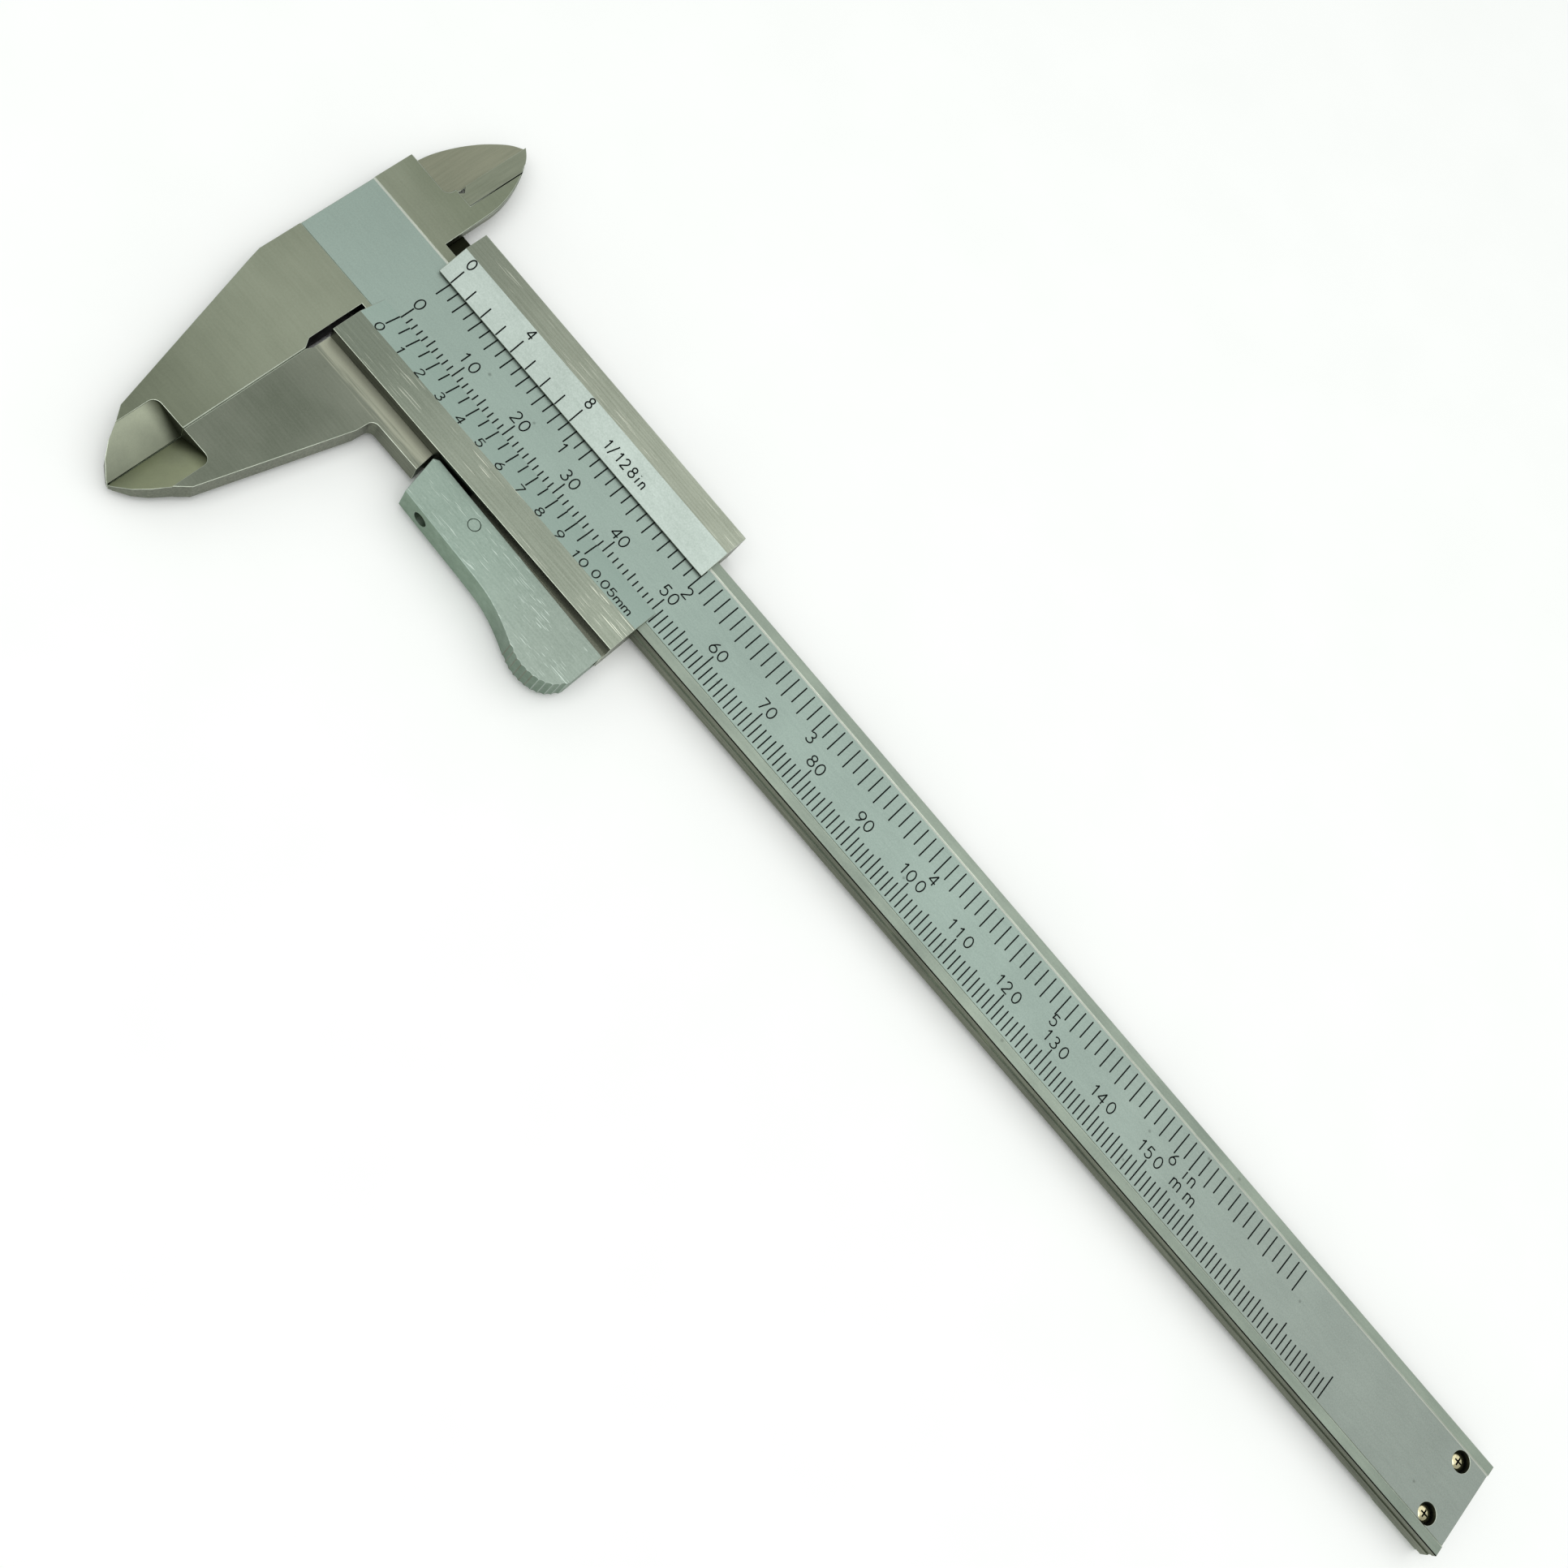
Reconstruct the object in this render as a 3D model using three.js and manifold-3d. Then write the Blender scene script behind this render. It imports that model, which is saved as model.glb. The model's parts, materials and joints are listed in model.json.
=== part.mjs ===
// Vernier caliper, 150 mm, with a sprung thumb lever, depth rod and scissor-type inside jaws.
// Units are millimetres. While a piece is made, X runs along the beam from the zero of the scale,
// Y runs towards the inside jaws, and Z = 0 is the plane that the scale is engraved on.
// At the end the whole tool is shifted so that the origin is the bottom centre of its box.
import * as THREE from "three";
import { mergeVertices } from "three/addons/utils/BufferGeometryUtils.js";
import Module from "manifold-3d";

const wasm = await Module();
wasm.setup();

// ---- beam ----
const HEAD_X = -17.2; // left end of the head
const BEAM_END_X = 217.2;
const BEAM_LOW_Y = -2.15;
const BEAM_HIGH_Y = 13.85;
const FACE_Z = 0.2; // ground faces of the beam and jaws, just above the scale face
const BACK_Z = -3.1;
const SCALE_LOW_Y = -0.5; // the scale face lies in a shallow bed between two ground edges
const SCALE_HIGH_Y = 12.3;
const HEAD_TOP_Y = 19.0;
const ROD_Y = 5.85; // middle of the beam's width
const GROOVE_W = 3.4;
const GROOVE_TOP_Z = -1.35;
const GROOVE_START_X = 14;
const EDGE_GROOVE_Z = -1.1; // shallow groove along each edge of the beam
const EDGE_GROOVE_W = 0.8;
const EDGE_GROOVE_DEPTH = 0.15;

// ---- outside jaws ----
const JAW_X = -3.35; // where the two measuring faces meet
const JAW_GAP = 0.01; // half of the hairline between the closed jaws
const JAW_TIP_Y = -42.5;
const KNIFE_TOP_Y = -31.2; // the jaws are thinned to a knife below this
const KNIFE_W = 5.1;
const KNIFE_CORNER_R = 1.1;
const KNIFE_EDGE_STEP = 0.15;
const KNIFE_DEPTH = 2.45;
const RELIEF_X = -4.2;
const RELIEF_TOP_Y = -1.4;
const RELIEF_END_Y = -11.65;

// ---- inside jaws ----
const INNER_X = -10.15; // where the two inside measuring edges meet
const INNER_TIP_Y = 34.2;
const INNER_SPLIT_Z = -1.3; // the front blade ends here, and the rear blade starts a gap behind
const INNER_GAP = 0.25;
const BLADE_BEVEL_W = 2.9;
const BLADE_BEVEL_Y = 20.65;
const BLADE_EDGE = 0.3; // thickness left at the knife edge

// ---- slider ----
const SLIDER_X0 = -2.95;
const SLIDER_UPPER_X0 = -2.2;
const SLIDER_X1 = 50.8;
const RAIL_TOP_Z = 2.3;
const RAIL_LOW_Y = -7.9;
const RAIL_HIGH_Y = 18.3;
const LIP_LOW_Z = 0.3; // underside of the two lips that reach over the beam
const LIP_EDGE_Z = 0.5;
const METRIC_EDGE_Y = 1.42;
const METRIC_BEVEL_Y = -3.3;
const INCH_EDGE_Y = 10.35;
const INCH_BEVEL_Y = 14.6;
const SLIDE_GAP = 0.15; // running clearance of the slider on the beam
const CHANNEL_HIGH_Y = 15.1;
const SLIDER_BACK_Z = -4.6;
const LEDGE_LOW_Y = -11.0;
const LEDGE_END_X = 17.2;
const ARM_HIGH_Y = 17.7;
const ARM_LOW_Y = 14.0;

// ---- gib ----
const GIB_X0 = 4;
const GIB_X1 = 46;
const GIB_T = 0.8;
const GIB_SCREW_X = [13, 37];
const GIB_SCREW_R = 0.9;

// ---- thumb lever ----
const LEVER_TOP_Z = 1.25;
const LEVER_LOW_Z = -3.1;
const LEVER_PIVOT = [27.4, -10.45];
const LEVER_MID_Z = -0.925;
const PIVOT_R = 0.75;
const TONGUE_T = 2.05; // the slider's tongue lies in a slot along the lever's upper edge
const TONGUE_X0 = 24.0;
const TONGUE_LOW_Y = -9.3;
const EAR_X = [25.0, 31.0]; // the tongue's ear that takes the pivot pin
const EAR_LOW_Y = -12.0;
const LEVER_SWING = 0.85; // room for the lever's free end when it is pressed
const FLUTES = 10;
const FLUTE_DEPTH = 0.16;
const SPRING_X = 38.5;
const SPRING_R = 0.75;
const SPRING_WIRE_R = 0.15;
const SPRING_TURNS = 6;
const SPRING_LOW_Y = -13.1;
const BRAKE_X = 22.4;
const BRAKE_SCREW_R = 0.95;
const BRAKE_SHOE_R = 0.85;

// ---- beam end ----
const PLATE_X0 = 206.2;
const PLATE_LOW_Z = -4.6;
const END_SCREW_X = 212.75;
const END_SCREW_Y = [1.2, 10.55];
const END_HEAD_R = 1.25;
const END_HOLE_R = 1.55;
const END_HEAD_TOP_Z = -0.95;
const END_HEAD_LOW_Z = -1.85;
const END_SHANK_R = 0.8;

// ---- depth rod ----
const ROD_W = 2.6;
const ROD_TOP_Z = -1.65;
const ROD_LOW_Z = -2.9;
const ROD_X0 = 16;
const RIVET_X = [19, 25];
const RIVET_R = 0.7;

const FIT = 0.3; // gap kept round pins and screws

const metal = (color, roughness, metalness) =>
  new THREE.MeshStandardMaterial({ color, roughness, metalness });
const groundSteel = () => metal(0x9c9b88, 0.38, 0.9);
const satinChrome = () => metal(0xa3b5ac, 0.5, 0.85);
const screwSteel = () => metal(0x7d7a6c, 0.3, 1.0);
const springSteel = () => metal(0x6f7271, 0.35, 1.0);
const bronze = () => metal(0xa9824a, 0.4, 0.9);

// A closed mesh made into a solid that can be joined and cut.
function solid(geometry) {
  const bare = geometry.clone();
  bare.deleteAttribute("normal");
  bare.deleteAttribute("uv");
  const merged = mergeVertices(bare, 1e-5);
  return new wasm.Manifold(new wasm.Mesh({
    numProp: 3,
    vertProperties: new Float32Array(merged.attributes.position.array),
    triVerts: new Uint32Array(merged.index.array),
  }));
}

// A solid turned back into a named mesh.
function piece(name, body, material) {
  const mesh = body.getMesh();
  const geometry = new THREE.BufferGeometry();
  geometry.setAttribute("position", new THREE.BufferAttribute(new Float32Array(mesh.vertProperties), 3));
  geometry.setIndex(new THREE.BufferAttribute(new Uint32Array(mesh.triVerts), 1));
  geometry.computeVertexNormals();
  const made = new THREE.Mesh(geometry, material);
  made.name = name;
  return made;
}

// Points along a smooth line through a few given ones.
function smooth(points, count) {
  const stops = points.map(([x, y]) => new THREE.Vector3(x, y, 0));
  const line = new THREE.CatmullRomCurve3(stops, false, "centripetal");
  return line.getSpacedPoints(count).map((point) => [point.x, point.y]);
}

// A quarter of a circle from one angle to the next, in degrees.
function corner(x, y, radius, from, to, count = 6) {
  const run = [];
  for (let i = 0; i <= count; i++) {
    const angle = (Math.PI / 180) * (from + (to - from) * (i / count));
    run.push([x + radius * Math.cos(angle), y + radius * Math.sin(angle)]);
  }
  return run;
}

const outline = (points) => new THREE.Shape(points.map(([a, b]) => new THREE.Vector2(a, b)));
const flat = (depth) => ({ depth, bevelEnabled: false, curveSegments: 10 });

// A plate with its outline in X and Y, between two heights.
function plate(points, z0, z1) {
  const geometry = new THREE.ExtrudeGeometry(outline(points), flat(z1 - z0));
  return solid(geometry.translate(0, 0, z0));
}

// A bar with its section in Y and Z, between two places along X.
function barAlongX(section, x0, x1) {
  const geometry = new THREE.ExtrudeGeometry(outline(section), flat(x1 - x0));
  const turn = new THREE.Matrix4().makeBasis(
    new THREE.Vector3(0, 1, 0), new THREE.Vector3(0, 0, 1), new THREE.Vector3(1, 0, 0));
  return solid(geometry.applyMatrix4(turn).translate(x0, 0, 0));
}

// A bar with its section in X and Z, between two places along Y.
function barAlongY(section, y0, y1) {
  const geometry = new THREE.ExtrudeGeometry(outline(section), flat(y1 - y0));
  const turn = new THREE.Matrix4().makeBasis(
    new THREE.Vector3(1, 0, 0), new THREE.Vector3(0, 0, 1), new THREE.Vector3(0, -1, 0));
  return solid(geometry.applyMatrix4(turn).translate(0, y1, 0));
}

function block(x0, x1, y0, y1, z0, z1) {
  const geometry = new THREE.BoxGeometry(x1 - x0, y1 - y0, z1 - z0);
  return solid(geometry.translate((x0 + x1) / 2, (y0 + y1) / 2, (z0 + z1) / 2));
}

function rodAlongZ(x, y, radius, z0, z1, sides = 28) {
  const geometry = new THREE.CylinderGeometry(radius, radius, z1 - z0, sides);
  return solid(geometry.rotateX(Math.PI / 2).translate(x, y, (z0 + z1) / 2));
}

function rodAlongY(x, z, radius, y0, y1, sides = 24) {
  const geometry = new THREE.CylinderGeometry(radius, radius, y1 - y0, sides);
  return solid(geometry.translate(x, (y0 + y1) / 2, z));
}

const joined = (solids) => solids.reduce((whole, next) => whole.add(next));

// The hollow ground flank that thins an outside jaw tip to a knife. side is -1 for the fixed jaw.
function knifeCut(side) {
  const section = [];
  for (let i = 0; i <= 8; i++) {
    const share = i / 8;
    const depth = KNIFE_EDGE_STEP + (KNIFE_DEPTH - KNIFE_EDGE_STEP) * share ** 1.35;
    section.push([JAW_X + side * KNIFE_W * (1 - share), FACE_Z - depth]);
  }
  section.push([JAW_X - side, FACE_Z - KNIFE_DEPTH], [JAW_X - side, 1], [JAW_X + side * KNIFE_W, 1]);
  const bed = [[JAW_X - side, JAW_TIP_Y - 1], [JAW_X + side * KNIFE_W, JAW_TIP_Y - 1]];
  for (let i = 0; i <= 5; i++) {
    const angle = (Math.PI / 2) * (i / 5);
    bed.push([JAW_X + side * (KNIFE_W - KNIFE_CORNER_R * (1 - Math.cos(angle))),
      KNIFE_TOP_Y - KNIFE_CORNER_R * (1 - Math.sin(angle))]);
  }
  bed.push([JAW_X - side, KNIFE_TOP_Y]);
  return barAlongY(section, JAW_TIP_Y - 2, KNIFE_TOP_Y + 1).intersect(plate(bed, BACK_Z - 1, 2));
}

// Right-hand or left-hand run down to the tip of an outside jaw, measured from the measuring face.
const tipRun = (side) => [[6.55, -35.25], [5.25, -37.0], [3.85, -39.3], [2.45, -40.9], [0.6, -42.2]]
  .map(([off, y]) => [JAW_X + side * off, y]);

function frontBlade() {
  const back = smooth([[-4.75, 22.4], [-4.95, 24.3], [-5.5, 26.6], [-6.4, 29.0], [-7.6, 31.2], [-8.8, 32.9],
    [INNER_X, INNER_TIP_Y]], 22);
  const body = plate([[HEAD_X, BEAM_HIGH_Y - 1], [-4.7, BEAM_HIGH_Y - 1], ...back, [INNER_X, 22.8],
    [INNER_X + 0.85, 21.8], [INNER_X, 20.5], ...corner(INNER_X - 1, HEAD_TOP_Y + 1, 1, 0, -90),
    [HEAD_X, HEAD_TOP_Y]], INNER_SPLIT_Z, FACE_Z);
  const bevel = barAlongY([[INNER_X - 1, INNER_SPLIT_Z + BLADE_EDGE], [INNER_X, INNER_SPLIT_Z + BLADE_EDGE],
    [INNER_X + BLADE_BEVEL_W, FACE_Z - 0.12], [INNER_X + BLADE_BEVEL_W, 1], [INNER_X - 1, 1]],
  BLADE_BEVEL_Y, INNER_TIP_Y + 1);
  return body.subtract(bevel);
}

function makeBeam() {
  const bar = block(HEAD_X, BEAM_END_X, BEAM_LOW_Y, BEAM_HIGH_Y, BACK_Z, FACE_Z);
  const jaw = plate([[HEAD_X, BEAM_LOW_Y + 1], [HEAD_X, -7.3], [-16.75, -9.2], ...tipRun(-1),
    [JAW_X - JAW_GAP, JAW_TIP_Y], [JAW_X - JAW_GAP, RELIEF_END_Y], [RELIEF_X, -10.3],
    [RELIEF_X, BEAM_LOW_Y + 1]], BACK_Z, FACE_Z).subtract(knifeCut(-1));
  const bed = barAlongX([[SCALE_LOW_Y, FACE_Z], [SCALE_LOW_Y + FACE_Z, 0], [SCALE_HIGH_Y - FACE_Z, 0],
    [SCALE_HIGH_Y, FACE_Z], [SCALE_HIGH_Y, 1], [SCALE_LOW_Y, 1]], HEAD_X - 1, BEAM_END_X + 1);
  const groove = block(GROOVE_START_X, BEAM_END_X + 1, ROD_Y - GROOVE_W / 2, ROD_Y + GROOVE_W / 2,
    BACK_Z - 1, GROOVE_TOP_Z);
  const reliefEnd = block(RELIEF_X, JAW_X + 0.4, BEAM_LOW_Y - 1, RELIEF_TOP_Y, BACK_Z - 1, FACE_Z + 1);
  const edgeLow = EDGE_GROOVE_Z - EDGE_GROOVE_W / 2;
  const edgeHigh = EDGE_GROOVE_Z + EDGE_GROOVE_W / 2;
  const lowGroove = block(0, BEAM_END_X + 1, BEAM_LOW_Y - 1, BEAM_LOW_Y + EDGE_GROOVE_DEPTH,
    edgeLow, edgeHigh);
  const highGroove = block(0, BEAM_END_X + 1, BEAM_HIGH_Y - EDGE_GROOVE_DEPTH, BEAM_HIGH_Y + 1,
    edgeLow, edgeHigh);
  let beam = joined([bar, jaw, frontBlade()]).subtract(bed).subtract(groove).subtract(reliefEnd)
    .subtract(lowGroove).subtract(highGroove);
  for (const y of END_SCREW_Y) {
    beam = beam.subtract(rodAlongZ(END_SCREW_X, y, END_HOLE_R, END_HEAD_LOW_Z, 1));
    beam = beam.subtract(rodAlongZ(END_SCREW_X, y, END_SHANK_R + FIT, BACK_Z - 1, 0));
  }
  return piece("main_beam", beam, satinChrome());
}

// The plate behind the beam's far end, which keeps the depth rod in its groove and stops the slider.
function makeEndPlate() {
  const cut = 1.2;
  const y0 = BEAM_LOW_Y + 0.6;
  const y1 = BEAM_HIGH_Y - 0.6;
  let body = plate([[PLATE_X0 + cut, y0], [BEAM_END_X, y0], [BEAM_END_X, y1], [PLATE_X0 + cut, y1],
    [PLATE_X0, y1 - cut], [PLATE_X0, y0 + cut]], PLATE_LOW_Z, BACK_Z);
  for (const y of END_SCREW_Y) {
    body = body.subtract(rodAlongZ(END_SCREW_X, y, END_SHANK_R + FIT, PLATE_LOW_Z - 1, BACK_Z + 1));
  }
  return piece("beam_end_plate", body, groundSteel());
}

// A cross-recessed screw, dropped in from the scale side, with its head below the surface.
function makeEndScrew(name, y) {
  const head = rodAlongZ(END_SCREW_X, y, END_HEAD_R, END_HEAD_LOW_Z, END_HEAD_TOP_Z);
  const shank = rodAlongZ(END_SCREW_X, y, END_SHANK_R, PLATE_LOW_Z + 0.2, END_HEAD_LOW_Z + 0.2);
  const along = block(END_SCREW_X - 0.75, END_SCREW_X + 0.75, y - 0.17, y + 0.17, END_HEAD_TOP_Z - 0.5, 0);
  const across = block(END_SCREW_X - 0.17, END_SCREW_X + 0.17, y - 0.75, y + 0.75, END_HEAD_TOP_Z - 0.5, 0);
  return piece(name, head.add(shank).subtract(along).subtract(across), screwSteel());
}

function makeDepthRod() {
  const y0 = ROD_Y - ROD_W / 2;
  const y1 = ROD_Y + ROD_W / 2;
  const tip = 1.6;
  let rod = plate([[ROD_X0, y0], [BEAM_END_X - tip, y0], [BEAM_END_X, y0 + 0.7], [BEAM_END_X, y1],
    [ROD_X0, y1]], ROD_LOW_Z, ROD_TOP_Z);
  for (const x of RIVET_X) {
    rod = rod.subtract(rodAlongZ(x, ROD_Y, RIVET_R + FIT / 2, ROD_LOW_Z - 1, ROD_TOP_Z + 1));
  }
  return piece("depth_rod", rod, groundSteel());
}

const makeRivet = (name, x) =>
  piece(name, rodAlongZ(x, ROD_Y, RIVET_R, SLIDER_BACK_Z + 0.1, ROD_TOP_Z - 0.1), screwSteel());

// The section of the slider that wraps the beam: two rails, two bevelled lips and a back wall.
function sliderShell() {
  const lower = [[METRIC_EDGE_Y, LIP_LOW_Z], [METRIC_EDGE_Y, LIP_EDGE_Z], [METRIC_BEVEL_Y, RAIL_TOP_Z],
    [RAIL_LOW_Y, RAIL_TOP_Z], [RAIL_LOW_Y, SLIDER_BACK_Z], [5, SLIDER_BACK_Z], [5, BACK_Z - SLIDE_GAP],
    [BEAM_LOW_Y - SLIDE_GAP, BACK_Z - SLIDE_GAP], [BEAM_LOW_Y - SLIDE_GAP, LIP_LOW_Z]];
  const upper = [[5, SLIDER_BACK_Z], [RAIL_HIGH_Y, SLIDER_BACK_Z], [RAIL_HIGH_Y, RAIL_TOP_Z],
    [INCH_BEVEL_Y, RAIL_TOP_Z], [INCH_EDGE_Y, LIP_EDGE_Z], [INCH_EDGE_Y, LIP_LOW_Z],
    [CHANNEL_HIGH_Y, LIP_LOW_Z], [CHANNEL_HIGH_Y, BACK_Z - SLIDE_GAP], [5, BACK_Z - SLIDE_GAP]];
  return barAlongX(lower, SLIDER_X0, SLIDER_X1).add(barAlongX(upper, SLIDER_UPPER_X0, SLIDER_X1));
}

function movableJaw() {
  const inner = JAW_X + JAW_GAP;
  return plate([[SLIDER_X0, RAIL_LOW_Y + 1], [SLIDER_X0, -10.8], [inner, RELIEF_END_Y], [inner, JAW_TIP_Y],
    ...tipRun(1).reverse(), [8.8, -13.8], [8.95, -12.0], ...corner(9.95, -12.0, 1, 180, 90),
    [LEDGE_END_X, LEDGE_LOW_Y], [LEDGE_END_X - 0.4, RAIL_LOW_Y + 1]], BACK_Z, FACE_Z).subtract(knifeCut(1));
}

function rearBlade() {
  const top = INNER_SPLIT_Z - INNER_GAP;
  const curve = smooth([[INNER_X, INNER_TIP_Y], [-11.6, 33.0], [-13.5, 30.2], [-14.75, 27.6], [-15.75, 24.8],
    [-16.45, 21.9], [-16.75, 19.0]], 22).slice(1);
  const body = plate([[SLIDER_UPPER_X0 + 1, ARM_LOW_Y], [SLIDER_UPPER_X0 + 1, ARM_HIGH_Y],
    [INNER_X + 0.8, ARM_HIGH_Y], [INNER_X, ARM_HIGH_Y + 0.8], [INNER_X, INNER_TIP_Y], ...curve,
    [-16.75, ARM_LOW_Y]], BACK_Z, top);
  const bevel = barAlongY([[INNER_X + 1, top - BLADE_EDGE], [INNER_X, top - BLADE_EDGE],
    [INNER_X - BLADE_BEVEL_W, BACK_Z + 0.12], [INNER_X - BLADE_BEVEL_W, BACK_Z - 1],
    [INNER_X + 1, BACK_Z - 1]].reverse(), BLADE_BEVEL_Y, INNER_TIP_Y + 1);
  return body.subtract(bevel);
}

function makeSlider() {
  const tongue = plate([[TONGUE_X0, RAIL_LOW_Y + 1], [TONGUE_X0, TONGUE_LOW_Y], [EAR_X[0], TONGUE_LOW_Y],
    [EAR_X[0], EAR_LOW_Y], [EAR_X[1], EAR_LOW_Y], [EAR_X[1], TONGUE_LOW_Y], [SLIDER_X1, TONGUE_LOW_Y],
    [SLIDER_X1, RAIL_LOW_Y + 1]], LEVER_MID_Z - TONGUE_T / 2, LEVER_MID_Z + TONGUE_T / 2);
  let slider = joined([sliderShell(), movableJaw(), rearBlade(), tongue]);
  slider = slider.subtract(rodAlongZ(...LEVER_PIVOT, PIVOT_R + FIT / 2, -3, 2));
  slider = slider.subtract(rodAlongY(BRAKE_X, LEVER_MID_Z, BRAKE_SHOE_R + FIT, RAIL_LOW_Y - 1, BEAM_LOW_Y));
  for (const x of GIB_SCREW_X) {
    slider = slider.subtract(rodAlongY(x, -1.4, GIB_SCREW_R + FIT, CHANNEL_HIGH_Y - 1, RAIL_HIGH_Y + 1));
  }
  for (const x of RIVET_X) {
    slider = slider.subtract(rodAlongZ(x, ROD_Y, RIVET_R + FIT, SLIDER_BACK_Z - 1, BACK_Z));
  }
  return piece("slider_body", slider, satinChrome());
}

function makeGib() {
  const low = BEAM_HIGH_Y + SLIDE_GAP;
  return piece("gib_strip", block(GIB_X0, GIB_X1, low, low + GIB_T, BACK_Z + 0.3, -0.1), bronze());
}

// A slotted set screw in the slider's upper rail, bearing on the gib.
function makeGibScrew(name, x) {
  const low = BEAM_HIGH_Y + SLIDE_GAP + GIB_T;
  const high = RAIL_HIGH_Y - 0.3;
  const slot = block(x - 1.2, x + 1.2, high - 0.5, high + 1, -1.55, -1.25);
  return piece(name, rodAlongY(x, -1.4, GIB_SCREW_R, low, high).subtract(slot), screwSteel());
}

// Lower edge of the lever: a straight grip that dips into a rounded thumb pad with scooped flutes.
function leverDip() {
  const grip = smooth([[18.75, -14.6], [25.2, -14.9], [31.2, -15.15], [35.2, -15.45], [37.6, -15.95],
    [40.1, -16.75], [42.2, -17.6]], 24);
  const pad = smooth([[42.2, -17.6], [43.6, -18.1], [45.2, -18.3], [47.6, -17.95], [49.5, -16.85],
    [50.6, -15.2]], FLUTES * 6);
  const scooped = pad.slice(1).map(([x, y], i) => {
    const across = ((i + 1) % 6) / 6;
    const [nextX, nextY] = pad[Math.min(i + 2, pad.length - 1)];
    const along = new THREE.Vector2(nextX - pad[i][0], nextY - pad[i][1]).normalize();
    const depth = FLUTE_DEPTH * 4 * across * (1 - across);
    return [x - depth * along.y, y + depth * along.x];
  });
  return [...grip, ...scooped];
}

function makeLever() {
  const end = SLIDER_X1 - 0.1;
  let lever = plate([[18.2, -8.15], [17.5, -8.7], ...leverDip(), [end, -14.6], [end, -9.0]],
    LEVER_LOW_Z, LEVER_TOP_Z);
  const slotLow = LEVER_MID_Z - TONGUE_T / 2 - FIT / 2;
  const slotHigh = LEVER_MID_Z + TONGUE_T / 2 + FIT / 2;
  const slot = plate([[TONGUE_X0 - 0.6, -7], [TONGUE_X0 - 0.6, TONGUE_LOW_Y - 0.4],
    [EAR_X[0] - 0.6, TONGUE_LOW_Y - 0.4], [EAR_X[0] - 0.6, EAR_LOW_Y - 0.5],
    [EAR_X[1] + 0.6, EAR_LOW_Y - 0.5], [EAR_X[1] + 0.6, TONGUE_LOW_Y - LEVER_SWING],
    [end + 1, TONGUE_LOW_Y - LEVER_SWING], [end + 1, -7]], slotLow, slotHigh);
  lever = lever.subtract(slot);
  lever = lever.subtract(rodAlongZ(...LEVER_PIVOT, PIVOT_R + FIT / 2, LEVER_LOW_Z - 1, LEVER_TOP_Z + 1));
  const pocketR = SPRING_R + SPRING_WIRE_R + FIT / 2;
  lever = lever.subtract(rodAlongY(SPRING_X, LEVER_MID_Z, pocketR, SPRING_LOW_Y - 0.1, TONGUE_LOW_Y));
  const screwHole = rodAlongY(BRAKE_X, LEVER_MID_Z, BRAKE_SCREW_R + FIT / 2, -17, -7);
  return piece("thumb_lever", lever.subtract(screwHole), satinChrome());
}

const makePivotPin = () => piece("lever_pivot_pin",
  rodAlongZ(...LEVER_PIVOT, PIVOT_R, LEVER_LOW_Z, LEVER_TOP_Z), screwSteel());

// The coil spring that pushes the thumb end of the lever away from the tongue.
function makeLeverSpring() {
  class Coil extends THREE.Curve {
    getPoint(t) {
      const angle = t * SPRING_TURNS * 2 * Math.PI;
      const y = SPRING_LOW_Y + SPRING_WIRE_R + t * (TONGUE_LOW_Y - SPRING_LOW_Y - 2 * SPRING_WIRE_R - 0.05);
      const across = SPRING_X + SPRING_R * Math.cos(angle);
      return new THREE.Vector3(across, y, LEVER_MID_Z + SPRING_R * Math.sin(angle));
    }
  }
  const ring = new THREE.Shape().absarc(0, 0, SPRING_WIRE_R, 0, 2 * Math.PI, false);
  const geometry = new THREE.ExtrudeGeometry(ring, { steps: 96, extrudePath: new Coil(), curveSegments: 4 });
  return piece("lever_spring", solid(geometry), springSteel());
}

// A socket set screw through the short end of the lever, which presses the brake shoe.
function makeBrakeScrew() {
  const socket = rodAlongY(BRAKE_X, LEVER_MID_Z, 0.5, -14, -12.6, 6);
  const shank = rodAlongY(BRAKE_X, LEVER_MID_Z, BRAKE_SCREW_R, -13.4, -8.3);
  return piece("brake_set_screw", shank.subtract(socket), screwSteel());
}

const makeBrakeShoe = () => piece("brake_shoe",
  rodAlongY(BRAKE_X, LEVER_MID_Z, BRAKE_SHOE_R, -8.2, BEAM_LOW_Y - 0.05), bronze());

const tool = new THREE.Group();
tool.add(makeBeam(), makeEndPlate());
tool.add(makeEndScrew("end_screw_lower", END_SCREW_Y[0]), makeEndScrew("end_screw_upper", END_SCREW_Y[1]));
tool.add(makeSlider(), makeGib());
tool.add(makeGibScrew("gib_screw_left", GIB_SCREW_X[0]), makeGibScrew("gib_screw_right", GIB_SCREW_X[1]));
tool.add(makeDepthRod(), makeRivet("depth_rod_rivet_front", RIVET_X[0]));
tool.add(makeRivet("depth_rod_rivet_rear", RIVET_X[1]));
tool.add(makeLever(), makePivotPin(), makeLeverSpring(), makeBrakeScrew(), makeBrakeShoe());
tool.position.set(-(HEAD_X + BEAM_END_X) / 2, -(JAW_TIP_Y + INNER_TIP_Y) / 2, -SLIDER_BACK_Z);

const caliper = new THREE.Group();
caliper.add(tool);

export default caliper;
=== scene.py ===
"""Looks of a 150 mm vernier caliper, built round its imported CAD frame.

Sizes in the classes are millimetres in the maker's own frame: X runs along the beam from the zero
mark, Y runs towards the inside jaws, and Z rises from the scale face. Bench turns them into metres
in the row frame. Each sub-assembly is a class that makes its pieces, dresses them and hands them
over to the CAD body that they ride on.
"""

from __future__ import annotations

import json
import logging
import math
from contextlib import contextmanager
from dataclasses import dataclass
from enum import Enum
from typing import Any, Callable, Iterator, Sequence

import bmesh
import bpy
from mathutils import Matrix, Vector

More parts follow.
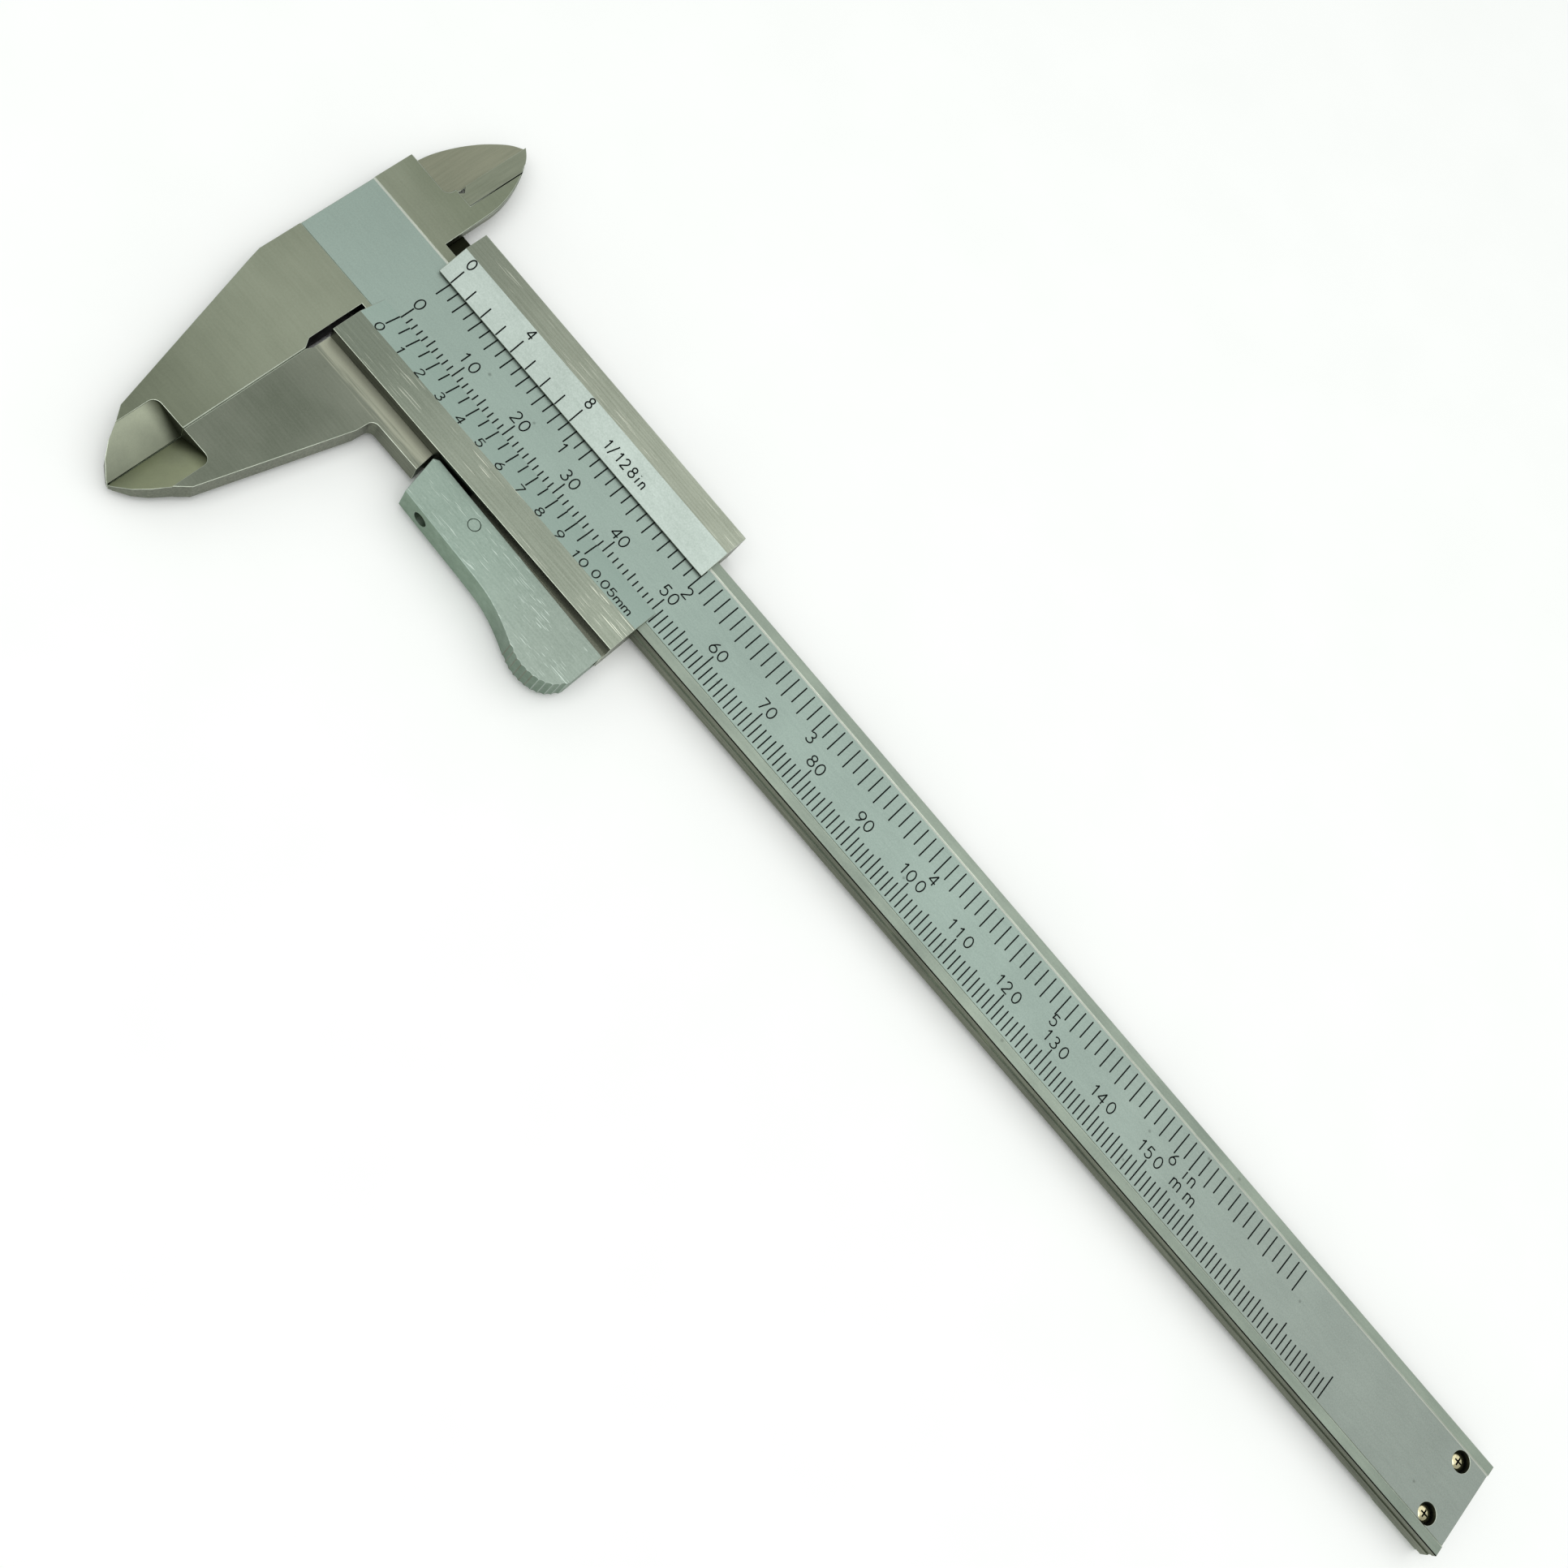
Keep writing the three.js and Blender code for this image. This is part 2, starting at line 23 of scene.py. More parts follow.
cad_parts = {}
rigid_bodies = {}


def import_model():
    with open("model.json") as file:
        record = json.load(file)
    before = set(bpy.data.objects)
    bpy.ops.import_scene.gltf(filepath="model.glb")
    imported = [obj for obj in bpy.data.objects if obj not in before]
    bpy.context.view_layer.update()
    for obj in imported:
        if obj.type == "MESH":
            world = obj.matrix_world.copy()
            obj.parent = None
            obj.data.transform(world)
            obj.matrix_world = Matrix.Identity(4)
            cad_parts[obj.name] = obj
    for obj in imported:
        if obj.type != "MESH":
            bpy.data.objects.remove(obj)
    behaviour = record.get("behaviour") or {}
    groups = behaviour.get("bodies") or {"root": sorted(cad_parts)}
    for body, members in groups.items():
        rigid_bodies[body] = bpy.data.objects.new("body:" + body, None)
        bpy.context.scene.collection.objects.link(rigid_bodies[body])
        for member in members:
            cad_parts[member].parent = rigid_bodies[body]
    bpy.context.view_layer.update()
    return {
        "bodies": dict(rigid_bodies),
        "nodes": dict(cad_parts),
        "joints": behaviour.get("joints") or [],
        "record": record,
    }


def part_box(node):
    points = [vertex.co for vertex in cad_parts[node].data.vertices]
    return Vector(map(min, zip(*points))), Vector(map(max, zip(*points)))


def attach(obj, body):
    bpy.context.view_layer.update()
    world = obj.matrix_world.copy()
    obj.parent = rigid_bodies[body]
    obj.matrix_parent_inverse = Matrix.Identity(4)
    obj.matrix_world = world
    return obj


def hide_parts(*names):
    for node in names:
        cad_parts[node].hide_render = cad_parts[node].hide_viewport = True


log = logging.getLogger("caliper")

MM = 0.001
INCH = 25.4
FLAT_SHARE = 0.9  # how square a normal has to be to an axis to count as facing along it
UP_SHARE = 0.3  # how much a normal has to rise to count as facing up
NEAR = 0.05  # how close to a line counts as on it, in mm
MERGE = 1e-6  # points closer than this are one, in metres
KNIFE_Y = -31.3  # the outside jaws thin to knife edges below this
JAW_X = -3.35  # where the outside jaws meet
LEVER_MID_Z = -0.925
# the measuring faces' bright upper edge is a painted highlight
BRIGHT_LINE = 0.1  # width of the measuring faces' bright upper edge, in mm
FINE_PITCH = 0.35  # of the small screws' threads, in mm
ROOT_SHARE = 0.85  # radius at a thread's root, as a share of the outer radius
CRISP = 16.0  # the bars' bevels meet flat faces at little more than this, in degrees
SCREW_CRISP = 40.0

MAJOR_SHARE = 0.7  # weight of the leading pattern where two are summed
SCRATCH_ZONE = (9.0, 4.0, 4.0)  # size of the areas that scratches gather in, in mm
SCRATCH_RIM = 0.05
SCRATCH_GLOSS = 0.8
PIT_RIM = (0.06, 0.02)
PIT_COLOUR = "34362f"

Point = tuple[float, float, float]
Flat = tuple[float, float]
Socket = bpy.types.NodeSocket
FaceRule = Callable[[Vector, Vector], "Dress"]
EdgeRule = Callable[[Vector, Vector], bool]


class Body(Enum):
    """The CAD bodies that pieces ride on."""

    BEAM = "beam"
    SLIDER = "slider"
    LEVER = "lever"
    BRAKE = "brake"


class Slot(Enum):
    """The record's material slots."""

    BEAM = "beam_steel"
    SLIDER = "slider_steel"
    GROUND = "ground_steel"
    LEVER = "lever_chrome"
    SCREW = "screw_steel"
    SPRING = "spring_steel"
    BRONZE = "bronze"


class Dress(Enum):
    """The finishes, by what was done to the metal, and the finishes that paint in light and shade."""

    GROUND = "ground_tool_steel"
    RAIL = "ground_rail_steel"
    LAPPED = "lapped_jaw_steel"
    MOVING_JAW = "lapped_moving_jaw_steel"
    REAR_BLADE = "ground_rear_blade_steel"
    BEVEL = "ground_blade_bevel"
    # painted shade: side walls darker than the tops
    SIDE = "milled_side_steel"
    # painted shade: the rail's lower wall, near black where shadow falls
    WALL = "oily_rail_wall"
    CHROME = "satin_chrome"
    LOW_BEVEL = "satin_chrome_of_the_metric_bevel"
    HIGH_BEVEL = "satin_chrome_of_the_inch_bevel"
    LEVER = "brushed_chrome"
    # painted shade: the lever's sides, a darker copy of its chrome
    LEVER_SIDE = "tumbled_chrome_side"
    FLANK = "hollow_ground_flank"
    MOVING_FLANK = "hollow_ground_moving_flank"
    # worn edges, painted lighter still as highlight
    EDGE = "worn_edge"
    # painted highlight: near-white lines on the measuring edges and the bed's upper slope
    BRIGHT_EDGE = "bright_ground_line"
    HOLE = "shaded_hole_wall"
    RUBBED = "rubbed_bright_steel"
    # painted shade: near-black lines and walls in creases, slots and gaps
    CREASE = "oil_darkened_crease"
    PAINT = "engraving_paint"
    SCREW = "zinc_screw_steel"
    WIRE = "spring_wire"
    BRONZE = "bearing_bronze"


# ---------------------------------------------------------------- colours and nodes


def linear(hex_colour: str) -> tuple[float, float, float, float]:
    """Turns an sRGB hex colour to the linear values that shaders take.

    Args:
        hex_colour: Six hex digits, with or without a leading hash.

    Returns:
        Red, green, blue and an alpha of one.
    """
    digits = hex_colour.lstrip("#")
    shares = [int(digits[i:i + 2], 16) / 255 for i in (0, 2, 4)]
    bent = [c / 12.92 if c <= 0.04045 else ((c + 0.055) / 1.055) ** 2.4 for c in shares]
    return (*bent, 1.0)


def add_node(
    tree: bpy.types.NodeTree,
    kind: str,
    settings: dict[str, Any] | None = None,
    values: dict[str | int, Any] | None = None,
    links: dict[str | int, bpy.types.NodeSocket] | None = None,
) -> bpy.types.Node:
    """Adds a node with its settings, its socket values and its links.

    Args:
        tree: The node tree that takes the node.
        kind: Blender's type name of the node.
        settings: Properties of the node itself.
        values: Values for its input sockets.
        links: Output sockets that feed its input sockets.

    Returns:
        The new node.
    """
    node = tree.nodes.new(kind)
    for key, value in (settings or {}).items():
        setattr(node, key, value)
    for key, value in (values or {}).items():
        node.inputs[key].default_value = value
    for key, source in (links or {}).items():
        tree.links.new(source, node.inputs[key])
    return node


class Recipe:
    """A material in the making, whose patterns are laid out by Object coordinates."""

    def __init__(self, name: str) -> None:
        """Starts an empty material.

        Args:
            name: The material's name.
        """
        self.material = bpy.data.materials.new(name)
        self.material.use_nodes = True
        self.tree = self.material.node_tree
        self.tree.nodes.clear()
        self.place = add_node(self.tree, "ShaderNodeTexCoord").outputs["Object"]

    def noise(self, size: Point, detail: float, roughness: float = 0.6) -> Socket:
        """Noise whose patches have a given size.

        Args:
            size: Size of a patch along X, Y and Z, in mm.
            detail: How many finer layers are added.
            roughness: How strong the finer layers are.

        Returns:
            The noise as a value from 0 to 1.
        """
        scale = tuple(1 / (s * MM) for s in size)
        spot = add_node(self.tree, "ShaderNodeMapping", values={"Scale": scale}, links={"Vector": self.place})
        values = {"Scale": 1.0, "Detail": detail, "Roughness": roughness}
        links = {"Vector": spot.outputs[0]}
        return add_node(self.tree, "ShaderNodeTexNoise", values=values, links=links).outputs["Fac"]

    def stretch(
        self, value: Socket, start: float, end: float, to: Flat = (0.0, 1.0), kind: str = "LINEAR"
    ) -> Socket:
        """Stretches one range of a value to another, and holds it at the ends.

        Args:
            value: The value.
            start: Where the range sets in.
            end: Where it is complete.
            to: What it gives at its start and at its end.
            kind: Blender's name of the curve between them.

        Returns:
            The stretched value.
        """
        ends = {"From Min": start, "From Max": end, "To Min": to[0], "To Max": to[1]}
        return add_node(
            self.tree, "ShaderNodeMapRange", settings={"interpolation_type": kind}, values=ends,
            links={"Value": value},
        ).outputs["Result"]

    def mix(self, share: Socket, base: Socket | str, top: Socket | str, blend: str = "MIX") -> Socket:
        """Lays one colour over another, each given as a socket or in hex.

        Args:
            share: How much of the top colour shows.
            base: The colour below.
            top: The colour above.
            blend: Blender's name of the way they combine.

        Returns:
            The combined colour.
        """
        pair = {6: base, 7: top}
        return add_node(
            self.tree, "ShaderNodeMix", settings={"data_type": "RGBA", "blend_type": blend},
            values={key: linear(colour) for key, colour in pair.items() if isinstance(colour, str)},
            links={0: share} | {key: colour for key, colour in pair.items() if not isinstance(colour, str)},
        ).outputs[2]

    def weigh(self, *shares: tuple[Socket, float], onto: Socket | None = None) -> Socket:
        """Adds up several patterns by their weights.

        Args:
            *shares: Each pattern with its weight.
            onto: A value that they are added to.

        Returns:
            The weighted sum.
        """
        total = onto
        for source, share in shares:
            links = {0: source} if total is None else {0: source, 2: total}
            total = add_node(
                self.tree, "ShaderNodeMath", settings={"operation": "MULTIPLY_ADD"},
                values={1: share, 2: 0.0}, links=links,
            ).outputs[0]
        return total

    def done(self, values: dict[str, float], links: dict[str, Socket]) -> bpy.types.Material:
        """Finishes the material with its shader.

        Args:
            values: The shader's constants.
            links: What feeds its other sockets.

        Returns:
            The finished material.
        """
        shader = add_node(self.tree, "ShaderNodeBsdfPrincipled", values=values, links=links)
        add_node(self.tree, "ShaderNodeOutputMaterial", links={"Surface": shader.outputs["BSDF"]})
        return self.material


# ---------------------------------------------------------------- finishes


@dataclass(frozen=True)
class Fade:
    """A change of tone between two places along an axis of the maker's frame."""

    axis: int
    start: float  # where it sets in, in mm
    end: float  # where it is complete, in mm
    colour: str
    blend: str = "MULTIPLY"
    ragged: float = 0.0  # how far streaks shift the boundary, in mm


@dataclass(frozen=True)
class MetalFinish:
    """A worked metal surface: streaks of the tool, fine grain, broad clouding, scratches and pits."""

    dark: str = "8f8d7c"
    light: str = "b4b2a0"
    roughness: Flat = (0.32, 0.46)
    streak: Point = (7.0, 0.28, 0.28)  # length, width and depth of one tool mark, in mm
    streak_share: float = 0.5
    grain: float = 0.18
    grain_share: float = 0.2
    cloud: float = 14.0
    cloud_share: float = 0.3
    bump: float = 0.002  # height of the relief, in mm
    scratch: Point = (5.0, 0.14, 0.14)
    scratch_amount: float = 0.0
    scratch_light: str = "e6e4d6"
    pit: float = 2.6
    pit_amount: float = 0.0
    contrast: float = 0.17  # how far from its middle the pattern reaches the dark or the light tone
    fades: tuple[Fade, ...] = ()

    def make(self, dress: Dress, zero: Vector) -> bpy.types.Material:
        """Builds the material.

        Args:
            dress: The finish's name.
            zero: The maker's origin in the row frame, in metres.

        Returns:
            The finished material.
        """
        recipe = Recipe(dress.value)
        streaks = recipe.noise(self.streak, 3.0)
        grain = recipe.noise((self.grain,) * 3, 2.0)
        clouds = recipe.noise((self.cloud,) * 3, 2.0)
        tone = recipe.weigh(
            (streaks, self.streak_share), (grain, self.grain_share), (clouds, self.cloud_share))
        spread = recipe.stretch(tone, 0.5 - self.contrast, 0.5 + self.contrast)
        colour = recipe.mix(spread, self.dark, self.light)
        gloss = recipe.stretch(spread, 0.0, 1.0, (self.roughness[1], self.roughness[0]))
        for fade in self.fades:
            colour = self._faded(recipe, streaks, colour, fade, zero)
        if self.scratch_amount:
            colour, gloss = self._scratched(recipe, colour, gloss)
        if self.pit_amount:
            colour = self._pitted(recipe, colour)
        relief = add_node(
            recipe.tree, "ShaderNodeBump", values={"Strength": 1.0, "Distance": self.bump * MM},
            links={"Height": recipe.weigh((streaks, MAJOR_SHARE), (grain, 1 - MAJOR_SHARE))},
        ).outputs["Normal"]
        return recipe.done({"Metallic": 1.0}, {"Base Color": colour, "Roughness": gloss, "Normal": relief})

    @staticmethod
    def _faded(recipe: Recipe, streaks: Socket, colour: Socket, fade: Fade, zero: Vector) -> Socket:
        """Blends a tone in along one axis, with a boundary that the streaks roughen.

        Args:
            recipe: The material in the making.
            streaks: The streak pattern.
            colour: The colour so far.
            fade: What changes, and where.
            zero: The maker's origin in the row frame, in metres.

        Returns:
            The colour with the tone blended in.
        """
        spot = add_node(recipe.tree, "ShaderNodeSeparateXYZ", links={0: recipe.place}).outputs[fade.axis]
        shift = fade.ragged * MM * 4
        origin = zero[fade.axis] + shift / 2
        share = recipe.stretch(
            recipe.weigh((streaks, shift), onto=spot), origin + fade.start * MM, origin + fade.end * MM,
            kind="SMOOTHSTEP")
        return recipe.mix(share, colour, fade.colour, fade.blend)

    def _scratched(self, recipe: Recipe, colour: Socket, gloss: Socket) -> tuple[Socket, Socket]:
        """Lays sparse bright scratches over the colour and makes them glossier.

        Args:
            recipe: The material in the making.
            colour: The colour so far.
            gloss: The roughness so far.

        Returns:
            The colour and the roughness with the scratches on them.
        """
        lines = recipe.noise(self.scratch, 1.0)
        zones = recipe.noise(SCRATCH_ZONE, 1.0)
        start = 0.66 - 0.1 * self.scratch_amount
        mask = recipe.stretch(
            recipe.weigh((lines, MAJOR_SHARE), (zones, 1 - MAJOR_SHARE)), start, start + SCRATCH_RIM)
        smooth = add_node(
            recipe.tree, "ShaderNodeMix", settings={"data_type": "FLOAT"},
            values={3: self.roughness[0] * SCRATCH_GLOSS}, links={0: mask, 2: gloss},
        ).outputs[0]
        return recipe.mix(mask, colour, self.scratch_light), smooth

    def _pitted(self, recipe: Recipe, colour: Socket) -> Socket:
        """Scatters small dark pits over the colour.

        Args:
            recipe: The material in the making.
            colour: The colour so far.

        Returns:
            The colour with the pits in it.
        """
        cells = add_node(
            recipe.tree, "ShaderNodeTexVoronoi", settings={"feature": "F1"},
            values={"Scale": 1 / (self.pit * MM)}, links={"Vector": recipe.place})
        near = recipe.stretch(cells.outputs["Distance"], *PIT_RIM, (0.0, self.pit_amount))
        return recipe.mix(near, colour, PIT_COLOUR)


@dataclass(frozen=True)
class PaintFinish:
    """Matt paint wiped into engraved lines: near black, a little uneven where it is thin."""

    dark: str = "060a08"
    light: str = "111816"
    roughness: float = 0.75
    specular: float = 0.12
    patch: float = 0.5  # in mm

    def make(self, dress: Dress, _: Vector) -> bpy.types.Material:
        """Builds the material.

        Args:
            dress: The finish's name.

        Returns:
            The finished material.
        """
        recipe = Recipe(dress.value)
        colour = recipe.mix(recipe.noise((self.patch,) * 3, 2.0, 0.5), self.dark, self.light)
        return recipe.done(
            {"Roughness": self.roughness, "IOR": 1.45, "Specular IOR Level": self.specular},
            {"Base Color": colour})


# Ground tool steel is warm grey, with fine lines of the wheel along the beam and dull clouds of handling.
# Satin chrome is cooler and greener, with an even, fine, blasted grain that spreads the light.
# Brushed chrome on the lever carries short bright scratches from thumbs and pockets.
# Rubbed steel is where parts slide: bright streaks on a darker ground, lifted by a painted highlight towards
# the right end.
FINISHES: dict[Dress, MetalFinish | PaintFinish] = {
    # Towards the beam's end the ground steel darkens as painted shade.
    Dress.GROUND: MetalFinish(
        "889388", "abb6ad", (0.34, 0.5), bump=0.004, scratch_amount=0.12, scratch_light="d9dccb",
        contrast=0.13, fades=(Fade(0, 150.0, 215.0, "e0ded2"),)),
    Dress.RAIL: MetalFinish(
        "989e8f", "bfc5b5", (0.3, 0.46), bump=0.004, streak=(14.0, 0.25, 0.3), streak_share=0.38,
        contrast=0.15, scratch_amount=0.2, scratch_light="dfe2d2", fades=(Fade(0, 22.0, -4.0, "dadcda"),
        Fade(1, 6.0, 0.0, "eaeded"))),
    # Towards the jaw tips the lapped steel darkens as painted shade.
    Dress.LAPPED: MetalFinish(
        "8c9280", "a3a996", (0.36, 0.48), streak=(9.0, 0.5, 0.5), streak_share=0.22, grain=0.3, cloud=11.0,
        cloud_share=0.5, pit=6.0, pit_amount=0.3, fades=(Fade(1, -9.0, -36.0, "c3c5c0"),
        Fade(1, 14.0, 20.0, "f0f2ee"), Fade(0, 8.0, 60.0, "f8ffff"),
        Fade(0, 8.0, 60.0, "001238", "SCREEN"))),
    # The moving jaw lightens towards the ledge as painted light; by the rail's foot the ledge is rubbed
    # bright and lifted with a painted highlight.
    Dress.MOVING_JAW: MetalFinish(
        "6b7164", "82877a", (0.34, 0.46), streak=(9.0, 0.4, 0.4), streak_share=0.25, grain=0.3, cloud=9.0,
        cloud_share=0.5, pit=6.0, pit_amount=0.3, fades=(Fade(1, -17.0, -10.0, "40413a", "SCREEN", 0.3),
        Fade(1, -10.9, -9.2, "8f8e7a", "SCREEN", 1.0))),
    # The rear blade lightens towards its tips; past x -5.6, where its arm shows between the head and the
    # slider, it is darkened near black as painted shade.
    Dress.REAR_BLADE: MetalFinish(
        "8a8d7b", "a5a691", (0.32, 0.46), streak=(0.4, 7.0, 0.4), streak_share=0.5, bump=0.003,
        fades=(Fade(1, 20.0, 32.0, "3a3a30", "SCREEN"), Fade(0, -6.4, -5.6, "3c3e36"))),
    Dress.BEVEL: MetalFinish("969c88", "b0b5a1", (0.3, 0.42), streak=(0.4, 5.0, 0.4)),
    # Painted shade: side walls are darker than the tops.
    Dress.SIDE: MetalFinish(
        "51554a", "787d6c", (0.38, 0.52), bump=0.004, streak=(9.0, 0.3, 0.25), streak_share=0.6),
    # Painted shade: the rail's lower wall is near black beside the ledge and the lever.
    Dress.WALL: MetalFinish(
        "0b0e0a", "30352b", (0.36, 0.5), bump=0.004, streak=(8.0, 0.3, 0.3), streak_share=0.7),
    # Along the beam the chrome darkens past x 18 as painted shade, and turns greyer towards the end.
    Dress.CHROME: MetalFinish(
        "9baba3", "aabbb2", (0.42, 0.52), streak=(3.0, 0.5, 0.5), streak_share=0.2, grain=0.22,
        grain_share=0.45, cloud_share=0.35, pit=5.5, pit_amount=0.4, fades=(Fade(0, 18.0, 75.0, "f1f1f1"),
        Fade(0, 110.0, 205.0, "fff5f6"))),
    # Both bevels carry one satin chrome: a brighter copy on the metric bevel as painted light, a darker one
    # on the inch bevel as painted shade.
    Dress.LOW_BEVEL: MetalFinish(
        "b6cac1", "c2d5cc", (0.42, 0.52), streak=(3.0, 0.5, 0.5), streak_share=0.25, grain=0.22,
        grain_share=0.5, cloud_share=0.25),
    Dress.HIGH_BEVEL: MetalFinish(
        "96a19a", "a3ada7", (0.4, 0.5), streak=(3.0, 0.5, 0.5), streak_share=0.2, grain=0.22,
        grain_share=0.45, cloud_share=0.35),
    Dress.LEVER: MetalFinish(
        "8e9f94", "a2b3a8", (0.38, 0.52), streak=(2.5, 0.3, 0.6), streak_share=0.35, grain=0.25,
        grain_share=0.35, scratch=(2.4, 0.12, 0.12), scratch_amount=0.35, scratch_light="c9d6cd",
        fades=(Fade(0, 28.0, 46.0, "fdf7f8"),)),
    # Painted shade: the lever's sides are a darker copy of its chrome.
    Dress.LEVER_SIDE: MetalFinish(
        "768a79", "889c8b", (0.42, 0.55), streak=(1.5, 1.5, 1.5), grain=0.25,
        fades=(Fade(0, 35.0, 41.0, "e6e6e6"),)),
    # Both flanks darken towards the shoulder as painted shade.
    Dress.FLANK: MetalFinish(
        "838878", "949986", (0.32, 0.44), streak=(4.0, 4.0, 4.0), fades=(Fade(1, -33.6, -31.0, "62655a"),)),
    Dress.MOVING_FLANK: MetalFinish(
        "989d84", "aab08f", (0.32, 0.44), streak=(4.0, 4.0, 4.0), fades=(Fade(1, -33.6, -31.0, "62655a"),)),
    # Broken edges: worn bright, and painted lighter still as highlight.
    Dress.EDGE: MetalFinish("9fa698", "ccd3c4", (0.26, 0.36), streak=(2.0, 2.0, 2.0)),
    # Painted highlight on the measuring faces' upper edges and the bed's upper slope.
    Dress.BRIGHT_EDGE: MetalFinish("d5dacf", "f2f5ec", (0.28, 0.36), streak=(4.0, 1.0, 1.0), bump=0.001),
    Dress.HOLE: MetalFinish("2a2d27", "4a4e46", (0.4, 0.55), streak=(1.0, 1.0, 0.2)),
    # Towards the right end the rubbed steel is lifted with a painted highlight.
    Dress.RUBBED: MetalFinish(
        "7d826f", "c6cab5", (0.24, 0.42), bump=0.004, streak=(9.0, 0.2, 0.2), streak_share=0.7,
        contrast=0.12, scratch_amount=0.4, scratch_light="f4f2e0",
        fades=(Fade(0, 34.0, 48.0, "7c7c70", "SCREEN"),)),
    # Painted shade for creases, the relief slots and the gaps between parts.
    Dress.CREASE: MetalFinish("0b0c08", "1d1e18", (0.5, 0.65), streak=(2.0, 2.0, 2.0)),
    Dress.PAINT: PaintFinish(),
    Dress.SCREW: MetalFinish(
        "8a8468", "d2caa6", (0.14, 0.3), streak=(0.3, 0.3, 0.3), grain=0.1, cloud=1.2, cloud_share=0.5,
        bump=0.006, contrast=0.12),
    Dress.WIRE: MetalFinish("6b6e6c", "8c8f8c", (0.28, 0.4), streak=(0.1, 1.0, 0.1)),
    Dress.BRONZE: MetalFinish("8f6d3c", "b98f52", (0.32, 0.48), bump=0.004, streak=(4.0, 0.2, 0.2)),
}


# ---------------------------------------------------------------- modelling by hand


def select_only(*objects: bpy.types.Object) -> None:
    """Selects these objects alone, and makes the first one active."""
    bpy.ops.object.select_all(action="DESELECT")
    for piece in objects:
        piece.select_set(True)
    bpy.context.view_layer.objects.active = objects[0]


@contextmanager
def editing(piece: bpy.types.Object, element: str = "FACE") -> Iterator[bmesh.types.BMesh]:
    """Opens a mesh in edit mode with nothing selected.

    Args:
        piece: The mesh object.
        element: VERT, EDGE or FACE.

    Returns:
        The mesh being edited.
    """
    select_only(piece)
    bpy.ops.object.mode_set(mode="EDIT")
    bpy.ops.mesh.select_mode(type=element)
    bpy.ops.mesh.select_all(action="DESELECT")
    try:
        yield bmesh.from_edit_mesh(piece.data)
    finally:
        bpy.ops.object.mode_set(mode="OBJECT")


def pick(elements: Sequence[Any], wanted: Callable[[Any], bool]) -> int:
    """Selects the elements of a mesh that a rule wants.

    Args:
        elements: Vertices, edges or faces of the mesh being edited.
        wanted: The rule.

    Returns:
        How many were selected.
    """
    chosen = [element for element in elements if wanted(element)]
    for element in chosen:
        element.select_set(True)
    bmesh.update_edit_mesh(bpy.context.active_object.data)
    return len(chosen)


def apply_modifier(piece: bpy.types.Object, kind: str, **settings: Any) -> None:
    """Adds a modifier, sets it up and applies it.

    Args:
        piece: The object that takes it.
        kind: Blender's type name of the modifier.
        **settings: Its properties.
    """
    select_only(piece)
    bpy.ops.object.modifier_add(type=kind)
    modifier = piece.modifiers[-1]
    for key, value in settings.items():
        setattr(modifier, key, value)
    bpy.ops.object.modifier_apply(modifier=modifier.name)


def settle(piece: bpy.types.Object) -> None:
    """Puts a piece's place, turn and size into its mesh."""
    select_only(piece)
    bpy.ops.object.transform_apply(location=True, rotation=True, scale=True)


def cut(piece: bpy.types.Object, cutter: bpy.types.Object) -> None:
    """Cuts one piece with another, which is then thrown away."""
    apply_modifier(piece, "BOOLEAN", object=cutter, operation="DIFFERENCE", solver="EXACT")
    bpy.data.objects.remove(cutter)


def swept(name: str, runs: Sequence[Sequence[Vector]], radius: float, resolution: int) -> bpy.types.Object:
    """Sweeps a round section along runs of points, as a mesh.

    Args:
        name: The piece's name.
        runs: Each run's points, in metres. A run that ends where it starts is closed.
        radius: Radius of the section, in mm.
        resolution: How finely the section is rounded.

    Returns:
        The swept mesh object.
    """
    curve = bpy.data.curves.new(name, "CURVE")
    curve.dimensions = "3D"
    curve.bevel_depth = radius * MM
    curve.bevel_resolution = resolution
    curve.use_fill_caps = True
    for run in runs:
        spline = curve.splines.new("POLY")
        spline.use_cyclic_u = (run[0] - run[-1]).length < MERGE / 10
        points = run[:-1] if spline.use_cyclic_u else run
        spline.points.add(len(points) - 1)
        for point, spot in zip(spline.points, points):
            point.co = (*spot, 1.0)
    piece = bpy.data.objects.new(name, curve)
    bpy.context.scene.collection.objects.link(piece)
    select_only(piece)
    bpy.ops.object.convert(target="MESH")
    return bpy.context.active_object


def within(value: float, span: Flat) -> bool:
    """Whether a value lies inside a span."""
    return span[0] < value < span[1]


